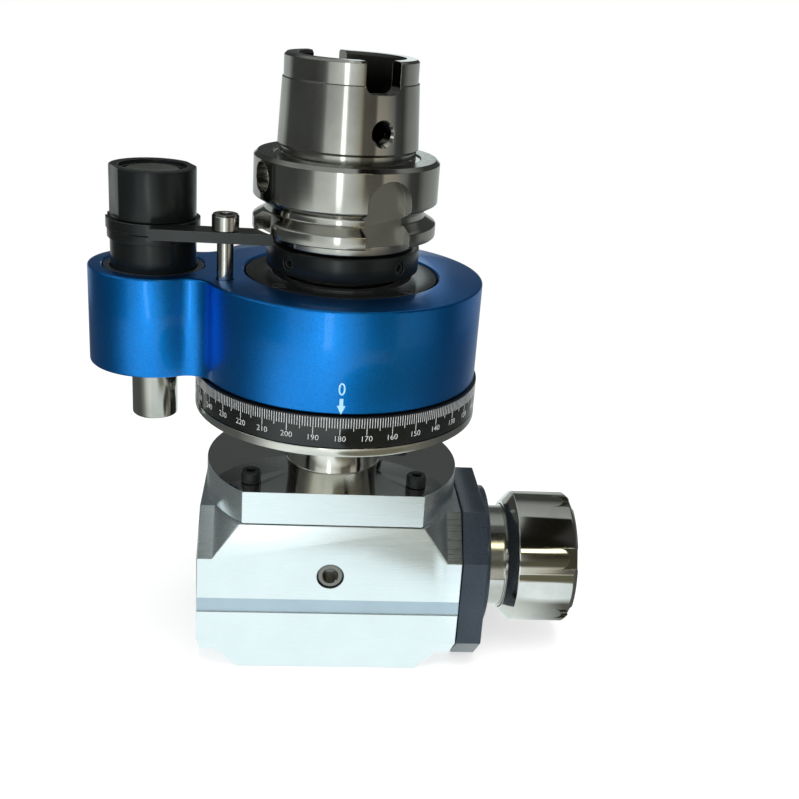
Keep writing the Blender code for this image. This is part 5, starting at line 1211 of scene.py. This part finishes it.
def make_taper_shank():
    """Hollow taper shank with drive slots, gripper groove, radial holes and flange notches."""
    shank = turned("taper_shank_finished", shank_section(), steps=ROUND * 2)
    slots = bmesh.new()
    for angle in (KEY_ANGLE, KEY_ANGLE + 180):
        verts = add_box(slots, (BORE_R * 0.6, -KEY_WIDTH / 2, MOUTH_Z - KEY_DEPTH),
                        (FLANGE_R, KEY_WIDTH / 2, MOUTH_Z + KEY_DEPTH))
        floor = MOUTH_Z - KEY_DEPTH + 0.001
        edges = {edge for vert in verts for edge in vert.link_edges}
        lower = [edge for edge in edges if all(vert.co.z < floor for vert in edge.verts)
                 and abs(edge.verts[0].co.y - edge.verts[1].co.y) < 0.001]
        rounded = bmesh.ops.bevel(slots, geom=lower, offset=0.003, segments=8, affect="EDGES", profile=0.5)
        body = set(rounded["verts"]) | {vert for vert in verts if vert.is_valid}
        bmesh.ops.transform(slots, matrix=spun(angle), verts=list(body))
    carve(shank, slots)
    side = bmesh.new()
    for angle in (KEY_ANGLE, KEY_ANGLE + 180):
        add_rod(side, 0.0035, BORE_R * 0.8, FLANGE_R, outward(angle, FLANGE_FACE + 0.010))
    add_rod(side, 0.005, FLANGE_R - 0.0045, FLANGE_R + 0.001, outward(LOCK_ANGLE, FLANGE_FACE - 0.007))
    carve(shank, side)
    for angle in (KEY_ANGLE, KEY_ANGLE + 180):
        sink = bmesh.new()
        add_rod(sink, 0.0028, 0.0212, 0.0242, outward(angle, FLANGE_FACE + 0.010), top_radius=0.0049)
        carve(shank, sink)
        carve_with(shank, slot_tool("gripper_notch", NOTCH_WIDTH, NOTCH_TOP - NOTCH_WIDTH / 2,
                                    FLANGE_BOTTOM - 0.01, NOTCH_FLAT, angle))
    lock = bmesh.new()
    add_box(lock, (0.0276, -0.007, FLANGE_BOTTOM - 0.001), (0.06, 0.007, GROOVE_MIDDLE), spun(LOCK_ANGLE))
    carve(shank, lock)
    dress(shank, "shank_steel", "input_spindle", "taper_shank")
    # Painted shade: the bore faces get steel darkened for the shade inside the hollow.
    paint_faces(shank, finish("bore_painted_shade"), in_shank_bore)
    paint_faces(shank, finish("milled_steel"), on_notch_flat)
    paint_faces(shank, finish("lapped_steel"), on_contact_face)
    low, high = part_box("draw_screw")
    head = cap_screw_mesh("draw_screw_blank", 0.0065, 0.008, 0.003, 0.004, 0.008 + 0.011)
    centre = Matrix.Translation((0, 0, high.z - 0.008))
    place_copies(head, ["draw_screw"], [centre], "black_screw", "input_spindle")


def in_shank_bore(face):
    """Whether a shank face lies in the bore."""
    return math.hypot(face.center.x, face.center.y) < CLAMP_GROOVE_R + 0.0002 and face.center.z > FLANGE_FACE - 0.0065


def on_notch_flat(face):
    """Whether a shank face is the milled flat of a gripper notch."""
    for angle in (KEY_ANGLE, KEY_ANGLE + 180):
        out = spun(angle).to_3x3() @ Vector((1, 0, 0))
        if face.normal.dot(out) > 0.99 and abs(face.center.dot(out) - NOTCH_FLAT) < 0.0001:
            return True
    return False


def on_contact_face(face):
    """Whether a shank face is the lapped ring that meets the machine spindle."""
    return face.normal.z > 0.9 and abs(face.center.z - FLANGE_FACE) < 0.0001


# Output plate, chuck, collet and nut

PLATE_FACE = PLATE_HIGH.x - 0.0025
RIM_R = 0.027
CHUCK_R = 0.0192
THREAD_R = 0.0199
THREAD_START = CHUCK_HIGH.x - 0.0182
SEAT_R = 0.0166
COLLET_SLOPE = math.tan(math.radians(8))
COLLET_BORE_R = 0.008
NUT_R = NUT_HIGH.y
NOTCH_ANGLE = -116


def make_output_plate():
    """Dark octagonal bearing plate with its rim, screws and seal."""
    plate = extruded("output_plate_finished", end_octagon(), PLATE_LOW.x, PLATE_FACE, ALONG_X,
                     rounding=sizes().edge_break * 1.2)
    rim = turned("output_rim", [
        (0, PLATE_FACE - 0.004, 0), (RIM_R, PLATE_FACE - 0.004, 0), (RIM_R, PLATE_HIGH.x, 0.0006),
        (0, PLATE_HIGH.x, 0)], ALONG_X)
    carve_with(plate, rim, "UNION")
    bore = turned("output_bore", [
        (0, PLATE_HIGH.x + 0.01, 0), (CHUCK_R + 0.0011, PLATE_HIGH.x + 0.01, 0), (CHUCK_R + 0.0011, PLATE_HIGH.x, 0),
        (CHUCK_R + 0.0005, PLATE_HIGH.x - 0.0006, 0), (CHUCK_R + 0.0005, PLATE_FACE - 0.0006, 0),
        (0.0175, PLATE_FACE - 0.0006, 0), (0.0175, PLATE_LOW.x - 0.01, 0), (0, PLATE_LOW.x - 0.01, 0)], ALONG_X)
    carve_with(plate, bore)
    holes = bmesh.new()
    for angle in PLATE_ANGLES:
        add_rod(holes, 0.0022, PLATE_LOW.x - 0.01, PLATE_FACE + 0.01, ALONG_X @ polar(PLATE_CIRCLE, 90 + angle), 48)
    carve(plate, holes)
    pockets = bmesh.new()
    for angle in PLATE_ANGLES:
        add_rod(pockets, 0.0038, PLATE_FACE - 0.0043, PLATE_FACE + 0.005,
                ALONG_X @ polar(PLATE_CIRCLE, 90 + angle))
    carve(plate, pockets)
    dress(plate, "dark_plate", "gear_head", "output_plate")
    heads = cap_screw_mesh("plate_screw_blank", 0.0035, 0.004, 0.0016, 0.002, 0.0135)
    seats = [ALONG_X @ polar(PLATE_CIRCLE, 90 + angle, PLATE_FACE - 0.004) for angle in PLATE_ANGLES]
    place_copies(heads, numbered("plate_screw", 4), seats, "black_screw", "gear_head")
    low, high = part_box("output_seal")
    seal = turned("output_seal_finished", [
        (0.0153, low.x, 0), (0.0172, low.x, 0), (0.0172, high.x, 0.0002), (0.0153, high.x, 0.0002)], ALONG_X)
    dress(seal, "seal_rubber", "gear_head", "output_seal")


def seat_radius(station):
    """Radius of the collet seat at a station along the output axis."""
    return SEAT_R - (CHUCK_HIGH.x - station) * COLLET_SLOPE


def make_collet_chuck():
    """Output spindle with its ground collar, spanner flats, thread and collet seat."""
    collar = PLATE_FACE - 0.0003
    tail = COLLET_LOW.x - 0.001
    face = CHUCK_HIGH.x
    profile = [
        (SEAT_R, face, 0), (THREAD_R, face, 0.0006)]
    pitch = sizes().thread_pitch
    crest = face - 0.0012
    while crest - pitch > THREAD_START:
        profile += [(THREAD_R, crest, 0), (THREAD_R - 0.0008, crest - pitch / 2, 0)]
        crest -= pitch
    profile += [
        (THREAD_R, crest, 0), (THREAD_R, THREAD_START, 0), (CHUCK_R, THREAD_START, 0), (CHUCK_R, collar, 0),
        (0.015, collar, 0), (0.015, HOUSING_HIGH.x, 0), (0.0122, HOUSING_HIGH.x, 0), (0.0122, 0.0238, 0),
        (0.009, 0.0238, 0), (0.009, 0.0122, 0), (0.0072, 0.0122, 0), (0.0072, CHUCK_LOW.x, 0.0006),
        (0, CHUCK_LOW.x, 0), (0, tail - 0.007, 0), (0.0085, tail - 0.003, 0), (0.0085, tail, 0),
        (seat_radius(tail), tail, 0)]
    chuck = turned("collet_chuck_finished", profile, ALONG_X)
    flats = bmesh.new()
    for side in (-1, 1):
        near, far = sorted((side * 0.0172, side * 0.03))
        add_box(flats, (-0.03, near, PLATE_HIGH.x + 0.0012), (0.03, far, THREAD_START),
                ALONG_X @ spun(NOTCH_ANGLE - 90))
    carve(chuck, flats)
    dress(chuck, "chuck_steel", "output_spindle", "collet_chuck")


def make_spring_collet():
    """Slotted spring collet with its pull groove."""
    face = COLLET_HIGH.x
    shoulder = CHUCK_HIGH.x + 0.0004
    head = SEAT_R - 0.0003
    collet = turned("spring_collet_finished", [
        (0.0137, face, 0.0003), (head, face - 0.0043, 0), (head, face - 0.0049, 0), (SEAT_R - 0.0018, face - 0.0049, 0),
        (SEAT_R - 0.0018, shoulder, 0), (head, shoulder, 0), (seat_radius(COLLET_LOW.x) - 0.0003, COLLET_LOW.x, 0.0002),
        (COLLET_BORE_R, COLLET_LOW.x, 0), (COLLET_BORE_R, face, 0.0004)], ALONG_X)
    for turn, start, end in ((15, COLLET_LOW.x + 0.006, face + 0.001), (45, COLLET_LOW.x - 0.001, face - 0.009)):
        slits = bmesh.new()
        for index in range(6):
            add_box(slits, (COLLET_BORE_R * 0.7, -0.00055, start), (0.025, 0.00055, end),
                    ALONG_X @ spun(turn + index * 60))
        carve(collet, slits)
    dress(collet, "chuck_steel", "collet_unit", "spring_collet")


def make_collet_nut():
    """Polished clamping nut with six spanner notches round its front rim."""
    back, face = NUT_LOW.x, NUT_HIGH.x
    thread = 0.0202
    nut = turned("collet_nut_finished", [
        (NUT_R - 0.0014, face, 0.0002), (NUT_R, face - 0.0017, 0.0003), (NUT_R, back + 0.0036, 0.0003),
        (0.0212, back, 0.0002), (thread, back, 0), (thread, CHUCK_HIGH.x + 0.0003, 0),
        (SEAT_R + 0.0006, CHUCK_HIGH.x + 0.0003, 0), (SEAT_R + 0.0006, COLLET_HIGH.x - 0.0040, 0),
        (0.0149, COLLET_HIGH.x + 0.0002, 0), (0.0149, face, 0.0003)], ALONG_X, ROUND * 2)
    stop = face - (0.0116 - 0.0079 / 2)
    for index in range(6):
        tool = slot_tool("nut_notch", 0.0079, stop, face + 0.01, NUT_R - 0.0026,
                         NOTCH_ANGLE + 60 * index, ALONG_X)
        carve_with(nut, tool)
    dress(nut, "nut_steel", "clamp_nut", "collet_nut")


# Kept CAD pieces

KEPT = {
    "bearing_steel": (
        "upper_bearing_outer_ring", "upper_bearing_inner_ring", "lower_bearing_outer_ring",
        "lower_bearing_inner_ring", "output_bearing_outer_ring", "output_bearing_inner_ring",
        "rear_bearing_outer_ring", "rear_bearing_inner_ring"),
    "cage_brass": (
        "upper_bearing_cage", "lower_bearing_cage", "output_bearing_cage", "rear_bearing_cage"),
    "gear_steel": ("input_gear", "output_gear"),
    "chuck_steel": ("input_shaft",),
    "screw_steel": ("clamp_ring", "shaft_lock_nut", "input_gear_nut", "output_gear_nut"),
}


def dress_kept_pieces():
    """Give the inner pieces that stay as modelled their finishes."""
    for look, names in KEPT.items():
        for name in names:
            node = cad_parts[name]
            for slot in node.material_slots:
                slot.material = finish(look)


# Stage

FLOOR_SIZE = 8.0
CAMERA_PLACE = (-0.01544, -0.38683, 0.24267)
CAMERA_AZIMUTH = -5.76
CAMERA_ELEVATION = 20.99
CAMERA_ROLL = 4.11
CAMERA_LENS = 50.97
WORLD_LIGHT = 0.55
FLOOR_GLOW = 0.6
DRUM_RADIUS = 1.5
DRUM_HEIGHT = 2.2
PATCH_LEVEL = (0.92, 1.02, 1.02)
PATCH_HALF = 0.075
PATCH_END = 0.2
NUT_PATCHES = (((0.24, 0.15, 0), 0.13, (0.17, 0.165, 0.11)), ((0.07, 0.1, 0), 0.045, (1.1, 1.24, 1.3)))
BRIGHT_SECTOR = -95
NEAR_R = 0.5
RIGHT_EDGE = 0.3
RIGHT_END = 0.8
SIDE_LEVEL = (0.05, 0.05, 0.05)
OLIVE = (1.0, 0.97, 0.66)
COOL = (0.93, 1.0, 0.98)
WARM = (1.0, 0.97, 0.82)
WARM_SECTOR = (20, 66)
SECTORS = (
    (-180, 0.55), (-142, 0.55), (-128, 0.55), (-112, 0.1), (-60, 0.08), (-44, 0.14), (-38, 0.3), (-34, 0.8),
    (-18, 1.05), (-8, 1.3), (-7, 4.5), (-2, 4.5), (-1, 1.25), (10, 0.95), (21, 0.6), (26, 0.16), (46, 0.16),
    (49, 0.6), (64, 0.5), (78, 0.3), (86, 0.1), (100, 0.07), (114, 0.3), (132, 0.4), (180, 0.55),
)
NEAR_SECTORS = (
    (-180, 0.5), (-150, 0.35), (-130, 0.12), (-72, 0.12), (-58, 0.3), (-44, 0.9), (-36, 1.1), (8, 1.35), (20, 1.15),
    (34, 0.7), (46, 0.35), (60, 0.2), (90, 0.12), (120, 0.12), (140, 0.3), (160, 0.5), (180, 0.5),
)
NECK_SECTORS = (
    (-180, 0.1), (-96, 0.15), (-82, 0.5), (-70, 1.4), (-58, 1.7), (-24, 1.4), (0, 1.2), (32, 1.15), (44, 0.5),
    (52, 0.25), (82, 0.25), (94, 0.9), (108, 1.7), (132, 0.9), (164, 0.08), (180, 0.1),
)
NECK_RISE = (20, 30)
RIGHT_RISE = ((0, 0.13), (16, 0.12), (27, 0.04), (33, 0.07), (34, 4.5), (38, 4.5), (40, 0.01), (90, 0.01))
FRONT_RISE = ((0, 0.15), (30, 0.15), (40, 0.1), (56, 0.1), (66, 0.5), (90, 0.6))
BACK_RISE = ((0, 0.3), (7, 0.07), (36, 0.07), (50, 0.35), (90, 0.6))
BRIGHTEST = 5.0
LAMPS = {
    "overhead_lamp": ((0.1, -0.2, 1.3), (1.2, 1.0), (0, 0, 0.1), 16.0),
    "left_lamp": ((-1.1, -0.6, 0.7), (0.7, 0.9), (0, 0, 0.1), 9.0),
    "right_lamp": ((1.1, -0.4, 0.6), (0.6, 0.9), (0, 0, 0.1), 7.0),
    "front_lamp": ((-0.05, -1.2, 0.35), (0.5, 0.5), (0, 0, 0.08), 5.0),
}


def aimed(place, target):
    """A matrix at a place whose local -Z looks at a target."""
    look = (Vector(target) - Vector(place)).normalized()
    return Matrix.Translation(place) @ look.to_track_quat("-Z", "Y").to_matrix().to_4x4()


def ramp(tree, value, stops):
    """A linear colour ramp; each stop has a share of the range and a colour."""
    node = add_node(tree, "ShaderNodeValToRGB")
    elements = node.color_ramp.elements
    elements[0].position, elements[1].position = stops[0][0], stops[-1][0]
    for place, _ in stops[1:-1]:
        elements.new(place)
    for element, (_, colour) in zip(elements, stops, strict=True):
        element.color = (*shade(colour, 1 / BRIGHTEST), 1)
    tree.links.new(value, node.inputs["Fac"])
    return node.outputs["Color"]


def sector_colour(degrees, level):
    """Cool light, warmer on the right of the front."""
    tone = WARM if WARM_SECTOR[0] < degrees < WARM_SECTOR[1] else COOL
    return tuple(level * channel for channel in tone)


def arctan2(tree, rise, run):
    """Angle of a rise over a run, as an output."""
    node = add_node(tree, "ShaderNodeMath", operation="ARCTAN2")
    tree.links.new(rise, node.inputs[0])
    tree.links.new(run, node.inputs[1])
    return node.outputs[0]


def make_surroundings():
    """Drum round the studio that only reflections see, with bright and dark sectors and heights."""
    bm = bmesh.new()
    middle = Matrix.Translation((0, 0, DRUM_HEIGHT / 2))
    bmesh.ops.create_cone(bm, cap_ends=True, segments=64, radius1=DRUM_RADIUS, radius2=DRUM_RADIUS,
                          depth=DRUM_HEIGHT, matrix=middle)
    drum = link_mesh("reflected_studio", bm)
    drum.matrix_world = Matrix.Translation((0, 0, -0.0001)) @ spun(BRIGHT_SECTOR)
    material, tree, shader = new_material("reflected_studio")
    place = add_node(tree, "ShaderNodeTexCoord")
    parts = add_node(tree, "ShaderNodeSeparateXYZ")
    tree.links.new(place.outputs["Object"], parts.inputs[0])
    turn = spread(tree, arctan2(tree, parts.outputs["Y"], parts.outputs["X"]), 0, 1, -math.pi, math.pi)
    near, far, neck = (ramp(tree, turn, [((degrees + 180) / 360, sector_colour(degrees, level)) for degrees, level in stops])
                 for stops in (NEAR_SECTORS, SECTORS, NECK_SECTORS))
    run = add_node(tree, "ShaderNodeVectorMath", operation="LENGTH")
    tree.links.new(object_place(tree, (1, 1, 0)), run.inputs[0])
    floor = mixed_colour(tree, spread(tree, run.outputs["Value"], 0, 1, NEAR_R, NEAR_R + 0.08), near, far)
    rise = spread(tree, arctan2(tree, parts.outputs["Z"], run.outputs["Value"]), 0, 1, 0, math.pi / 2)
    front, back = (ramp(tree, rise, [(degrees / 90, sector_colour(0, level)) for degrees, level in stops])
                   for stops in (FRONT_RISE, BACK_RISE))
    walls = mixed_colour(tree, spread(tree, parts.outputs["X"], 0, 1, -0.3, 0.3), back, front)
    low, high = (degrees / 90 for degrees in NECK_RISE)
    belt = add_node(tree, "ShaderNodeMath", operation="MINIMUM")
    tree.links.new(spread(tree, rise, 0, 1, low - 0.02, low), belt.inputs[0])
    tree.links.new(spread(tree, rise, 1, 0, high, high + 0.02), belt.inputs[1])
    ahead_of_neck = add_node(tree, "ShaderNodeMath", operation="MINIMUM")
    tree.links.new(belt.outputs[0], ahead_of_neck.inputs[0])
    tree.links.new(spread(tree, parts.outputs["X"], 0, 1, -0.3, 0.3), ahead_of_neck.inputs[1])
    walls = mixed_colour(tree, ahead_of_neck.outputs[0], walls, neck)
    right = ramp(tree, rise, [(degrees / 90, tuple(level * channel for channel in OLIVE))
                              for degrees, level in RIGHT_RISE])
    beside = add_node(tree, "ShaderNodeMath", operation="MINIMUM")
    tree.links.new(spread(tree, parts.outputs["Y"], 0, 1, RIGHT_EDGE - 0.03, RIGHT_EDGE + 0.03), beside.inputs[0])
    tree.links.new(spread(tree, parts.outputs["X"], 0, 1, -RIGHT_EDGE - 0.14, -RIGHT_EDGE - 0.06), beside.inputs[1])
    side = spread(tree, parts.outputs["Y"], 0, 1, RIGHT_END, RIGHT_END + 0.15)
    right = mixed_colour(tree, side, right, shade(SIDE_LEVEL, 1 / BRIGHTEST))
    walls = mixed_colour(tree, beside.outputs[0], walls, right)
    both = mixed_colour(tree, spread(tree, rise, 0, 1, 0.08, 0.12), floor, walls)
    aside = add_node(tree, "ShaderNodeMath", operation="ABSOLUTE")
    tree.links.new(parts.outputs["Y"], aside.inputs[0])
    off = spread(tree, aside.outputs[0], 0, 1, PATCH_HALF, PATCH_HALF * 1.3)
    ahead = spread(tree, parts.outputs["X"], 0, 1, PATCH_END, PATCH_END * 1.5)
    beyond = add_node(tree, "ShaderNodeMath", operation="MAXIMUM")
    tree.links.new(off, beyond.inputs[0])
    tree.links.new(ahead, beyond.inputs[1])
    level = mixed_colour(tree, beyond.outputs[0], shade(PATCH_LEVEL, 1 / BRIGHTEST), both)
    for centre, radius, colour in NUT_PATCHES:
        away = add_node(tree, "ShaderNodeVectorMath", operation="DISTANCE")
        tree.links.new(place.outputs["Object"], away.inputs[0])
        away.inputs[1].default_value = centre
        level = mixed_colour(tree, spread(tree, away.outputs["Value"], 0, 1, radius - 0.01, radius),
                             shade(colour, 1 / BRIGHTEST), level)
    glow = add_node(tree, "ShaderNodeEmission", Strength=BRIGHTEST)
    tree.links.new(level, glow.inputs["Color"])
    tree.links.new(glow.outputs[0], tree.nodes["Material Output"].inputs["Surface"])
    tree.nodes.remove(shader)
    drum.data.materials.append(material)
    only_reflected(drum)


def mixed_colour(tree, share, first, second):
    """Mix two colours, each a constant or an output."""
    mix = add_node(tree, "ShaderNodeMix", data_type="RGBA")
    for socket, value in ((6, first), (7, second)):
        if isinstance(value, tuple):
            mix.inputs[socket].default_value = (*value, 1)
        else:
            tree.links.new(value, mix.inputs[socket])
    tree.links.new(share, mix.inputs[0])
    return mix.outputs[2]


def only_reflected(obj):
    """Hide a stage piece from all but mirror rays."""
    obj.visible_camera = False
    obj.visible_diffuse = False
    obj.visible_shadow = False
    obj.visible_transmission = False


def seen_white(tree, strength):
    """Mix a shader towards plain white for camera, mirror and glass rays."""
    path = add_node(tree, "ShaderNodeLightPath")
    either = add_node(tree, "ShaderNodeMath", operation="MAXIMUM")
    tree.links.new(path.outputs["Is Camera Ray"], either.inputs[0])
    tree.links.new(path.outputs["Is Glossy Ray"], either.inputs[1])
    any_ray = add_node(tree, "ShaderNodeMath", operation="MAXIMUM")
    tree.links.new(either.outputs[0], any_ray.inputs[0])
    tree.links.new(path.outputs["Is Transmission Ray"], any_ray.inputs[1])
    share = add_node(tree, "ShaderNodeMath", operation="MULTIPLY")
    tree.links.new(any_ray.outputs[0], share.inputs[0])
    share.inputs[1].default_value = strength
    return share.outputs[0]


def make_floor():
    """Pale floor that keeps the soft shadow of the head."""
    bm = bmesh.new()
    bmesh.ops.create_grid(bm, x_segments=1, y_segments=1, size=FLOOR_SIZE / 2)
    floor = link_mesh("studio_floor", bm)
    floor.location.z = -0.0002
    material, tree, shader = new_material("floor_paint")
    shader.inputs["Base Color"].default_value = (0.9, 0.9, 0.9, 1)
    shader.inputs["Roughness"].default_value = 0.9
    shader.inputs["Specular IOR Level"].default_value = 0.1
    glow = add_node(tree, "ShaderNodeEmission", Strength=1.0)
    mix = add_node(tree, "ShaderNodeMixShader")
    place = add_node(tree, "ShaderNodeTexCoord")
    reach = add_node(tree, "ShaderNodeVectorMath", operation="LENGTH")
    tree.links.new(place.outputs["Object"], reach.inputs[0])
    share = add_node(tree, "ShaderNodeMath", operation="MULTIPLY")
    tree.links.new(seen_white(tree, 1.0), share.inputs[0])
    tree.links.new(spread(tree, reach.outputs["Value"], FLOOR_GLOW, 1.0, 0.15, 0.7), share.inputs[1])
    tree.links.new(share.outputs[0], mix.inputs[0])
    tree.links.new(shader.outputs[0], mix.inputs[1])
    tree.links.new(glow.outputs[0], mix.inputs[2])
    tree.links.new(mix.outputs[0], tree.nodes["Material Output"].inputs["Surface"])
    floor.data.materials.append(material)


def make_world():
    """White surroundings for the camera and mirrors, softer light for the rest."""
    world = bpy.data.worlds.new("studio")
    world.use_nodes = True
    tree = world.node_tree
    soft = tree.nodes["Background"]
    soft.inputs["Color"].default_value = (1, 1, 1, 1)
    soft.inputs["Strength"].default_value = WORLD_LIGHT
    white = add_node(tree, "ShaderNodeBackground", Strength=1.0)
    white.inputs["Color"].default_value = (1, 1, 1, 1)
    mix = add_node(tree, "ShaderNodeMixShader")
    tree.links.new(seen_white(tree, 1.0), mix.inputs[0])
    tree.links.new(soft.outputs[0], mix.inputs[1])
    tree.links.new(white.outputs[0], mix.inputs[2])
    tree.links.new(mix.outputs[0], tree.nodes["World Output"].inputs["Surface"])
    bpy.context.scene.world = world


def make_lamps():
    """Soft area lamps round the head; mirrors see the drum in their place."""
    for name, (place, size, target, power) in LAMPS.items():
        data = bpy.data.lights.new(name, "AREA")
        data.shape = "RECTANGLE"
        data.size, data.size_y = size
        data.energy = power
        lamp = bpy.data.objects.new(name, data)
        lamp.matrix_world = aimed(place, target)
        lamp.visible_glossy = False
        bpy.context.scene.collection.objects.link(lamp)


def make_camera():
    """Camera at the viewing angle of the photograph."""
    azimuth, elevation, roll = (math.radians(value) for value in (CAMERA_AZIMUTH, CAMERA_ELEVATION, CAMERA_ROLL))
    back = Vector((math.sin(azimuth) * math.cos(elevation), -math.cos(azimuth) * math.cos(elevation),
                   math.sin(elevation)))
    right = Vector((math.cos(azimuth), math.sin(azimuth), 0))
    up = back.cross(right)
    across = math.cos(roll) * right + math.sin(roll) * up
    upward = -math.sin(roll) * right + math.cos(roll) * up
    data = bpy.data.cameras.new("studio_camera")
    data.lens = CAMERA_LENS
    data.sensor_width = 36
    data.clip_start = 0.01
    camera = bpy.data.objects.new("studio_camera", data)
    turn = Matrix((across, upward, back)).transposed().to_4x4()
    camera.matrix_world = Matrix.Translation(CAMERA_PLACE) @ turn
    bpy.context.scene.collection.objects.link(camera)
    bpy.context.scene.camera = camera


def make_stage():
    """Floor, surroundings, lamps and camera."""
    make_floor()
    make_world()
    make_surroundings()
    make_lamps()
    make_camera()
    bpy.context.scene.view_settings.view_transform = "Standard"


# Operators and panel

class OBJECT_OT_gear_housing(bpy.types.Operator):
    """Build the bright gear housing and its front plug."""

    bl_idname = "milling_head.gear_housing"
    bl_label = "Gear Housing"

    def execute(self, context):
        make_gear_housing()
        return {"FINISHED"}


class OBJECT_OT_end_cover(bpy.types.Operator):
    """Build the recessed end cover."""

    bl_idname = "milling_head.end_cover"
    bl_label = "End Cover"

    def execute(self, context):
        make_end_cover()
        return {"FINISHED"}


class OBJECT_OT_swivel_column(bpy.types.Operator):
    """Build the swivel column with its flange screws and clamp bolts."""

    bl_idname = "milling_head.swivel_column"
    bl_label = "Swivel Column"

    def execute(self, context):
        make_swivel_column()
        return {"FINISHED"}


class OBJECT_OT_graduated_ring(bpy.types.Operator):
    """Build the graduated ring with its ticks and numbers."""

    bl_idname = "milling_head.graduated_ring"
    bl_label = "Graduated Ring"

    def execute(self, context):
        make_graduated_ring()
        return {"FINISHED"}


class OBJECT_OT_bearing_cover(bpy.types.Operator):
    """Build the bearing cover, its screws and the spindle seal."""

    bl_idname = "milling_head.bearing_cover"
    bl_label = "Bearing Cover"

    def execute(self, context):
        make_bearing_cover()
        return {"FINISHED"}


class OBJECT_OT_stop_housing(bpy.types.Operator):
    """Build the enamelled stop housing and its zero mark."""

    bl_idname = "milling_head.stop_housing"
    bl_label = "Stop Housing"

    def execute(self, context):
        make_stop_housing()
        return {"FINISHED"}


class OBJECT_OT_locating_pin(bpy.types.Operator):
    """Build the locating pin, its bush and the return spring."""

    bl_idname = "milling_head.locating_pin"
    bl_label = "Locating Pin"

    def execute(self, context):
        make_locating_pin()
        make_return_spring()
        return {"FINISHED"}


class OBJECT_OT_locking_sleeve(bpy.types.Operator):
    """Build the locking sleeve, its arm, screw and guide post."""

    bl_idname = "milling_head.locking_sleeve"
    bl_label = "Locking Sleeve and Arm"

    def execute(self, context):
        make_locking_sleeve()
        make_locking_arm()
        return {"FINISHED"}


class OBJECT_OT_spindle_collar(bpy.types.Operator):
    """Build the collar under the shank."""

    bl_idname = "milling_head.spindle_collar"
    bl_label = "Spindle Collar"

    def execute(self, context):
        make_spindle_collar()
        return {"FINISHED"}


class OBJECT_OT_taper_shank(bpy.types.Operator):
    """Build the hollow taper shank."""

    bl_idname = "milling_head.taper_shank"
    bl_label = "Taper Shank"

    def execute(self, context):
        make_taper_shank()
        return {"FINISHED"}


class OBJECT_OT_output_plate(bpy.types.Operator):
    """Build the output plate, its screws and seal."""

    bl_idname = "milling_head.output_plate"
    bl_label = "Output Plate"

    def execute(self, context):
        make_output_plate()
        return {"FINISHED"}


class OBJECT_OT_collet_chuck(bpy.types.Operator):
    """Build the collet chuck, the spring collet and the clamping nut."""

    bl_idname = "milling_head.collet_chuck"
    bl_label = "Collet Chuck"

    def execute(self, context):
        make_collet_chuck()
        make_spring_collet()
        make_collet_nut()
        return {"FINISHED"}


class OBJECT_OT_inner_pieces(bpy.types.Operator):
    """Give the gears, bearings and nuts inside their finishes."""

    bl_idname = "milling_head.inner_pieces"
    bl_label = "Inner Pieces"

    def execute(self, context):
        dress_kept_pieces()
        return {"FINISHED"}


class OBJECT_OT_studio_stage(bpy.types.Operator):
    """Set up the floor, the light and the camera."""

    bl_idname = "milling_head.studio_stage"
    bl_label = "Stage"

    def execute(self, context):
        make_stage()
        return {"FINISHED"}


OPERATORS = (
    OBJECT_OT_gear_housing, OBJECT_OT_end_cover, OBJECT_OT_swivel_column, OBJECT_OT_graduated_ring,
    OBJECT_OT_bearing_cover, OBJECT_OT_stop_housing, OBJECT_OT_locating_pin, OBJECT_OT_locking_sleeve,
    OBJECT_OT_spindle_collar, OBJECT_OT_taper_shank, OBJECT_OT_output_plate, OBJECT_OT_collet_chuck,
    OBJECT_OT_inner_pieces, OBJECT_OT_studio_stage,
)


class VIEW3D_PT_milling_head(bpy.types.Panel):
    """Sidebar panel with the building steps, sizes and colours."""

    bl_label = "Milling Head"
    bl_idname = "VIEW3D_PT_milling_head"
    bl_space_type = "VIEW_3D"
    bl_region_type = "UI"
    bl_category = "Milling Head"

    def draw(self, context):
        layout = self.layout
        for group in (context.scene.angle_head_sizes, context.scene.angle_head_colours):
            box = layout.box()
            for name in group.__annotations__:
                box.prop(group, name)
        for operator in OPERATORS:
            layout.operator(operator.bl_idname)


CLASSES = (AngleHeadSizes, AngleHeadColours, *OPERATORS, VIEW3D_PT_milling_head)


def register():
    """Register the classes and the scene's property groups."""
    for cls in CLASSES:
        bpy.utils.register_class(cls)
    bpy.types.Scene.angle_head_sizes = PointerProperty(type=AngleHeadSizes)
    bpy.types.Scene.angle_head_colours = PointerProperty(type=AngleHeadColours)


def unregister():
    """Undo register."""
    del bpy.types.Scene.angle_head_colours
    del bpy.types.Scene.angle_head_sizes
    for cls in reversed(CLASSES):
        bpy.utils.unregister_class(cls)


def main():
    """Build the finished head piece by piece."""
    register()
    for operator in OPERATORS:
        group, name = operator.bl_idname.split(".")
        getattr(getattr(bpy.ops, group), name)()


if __name__ == "__main__":
    main()
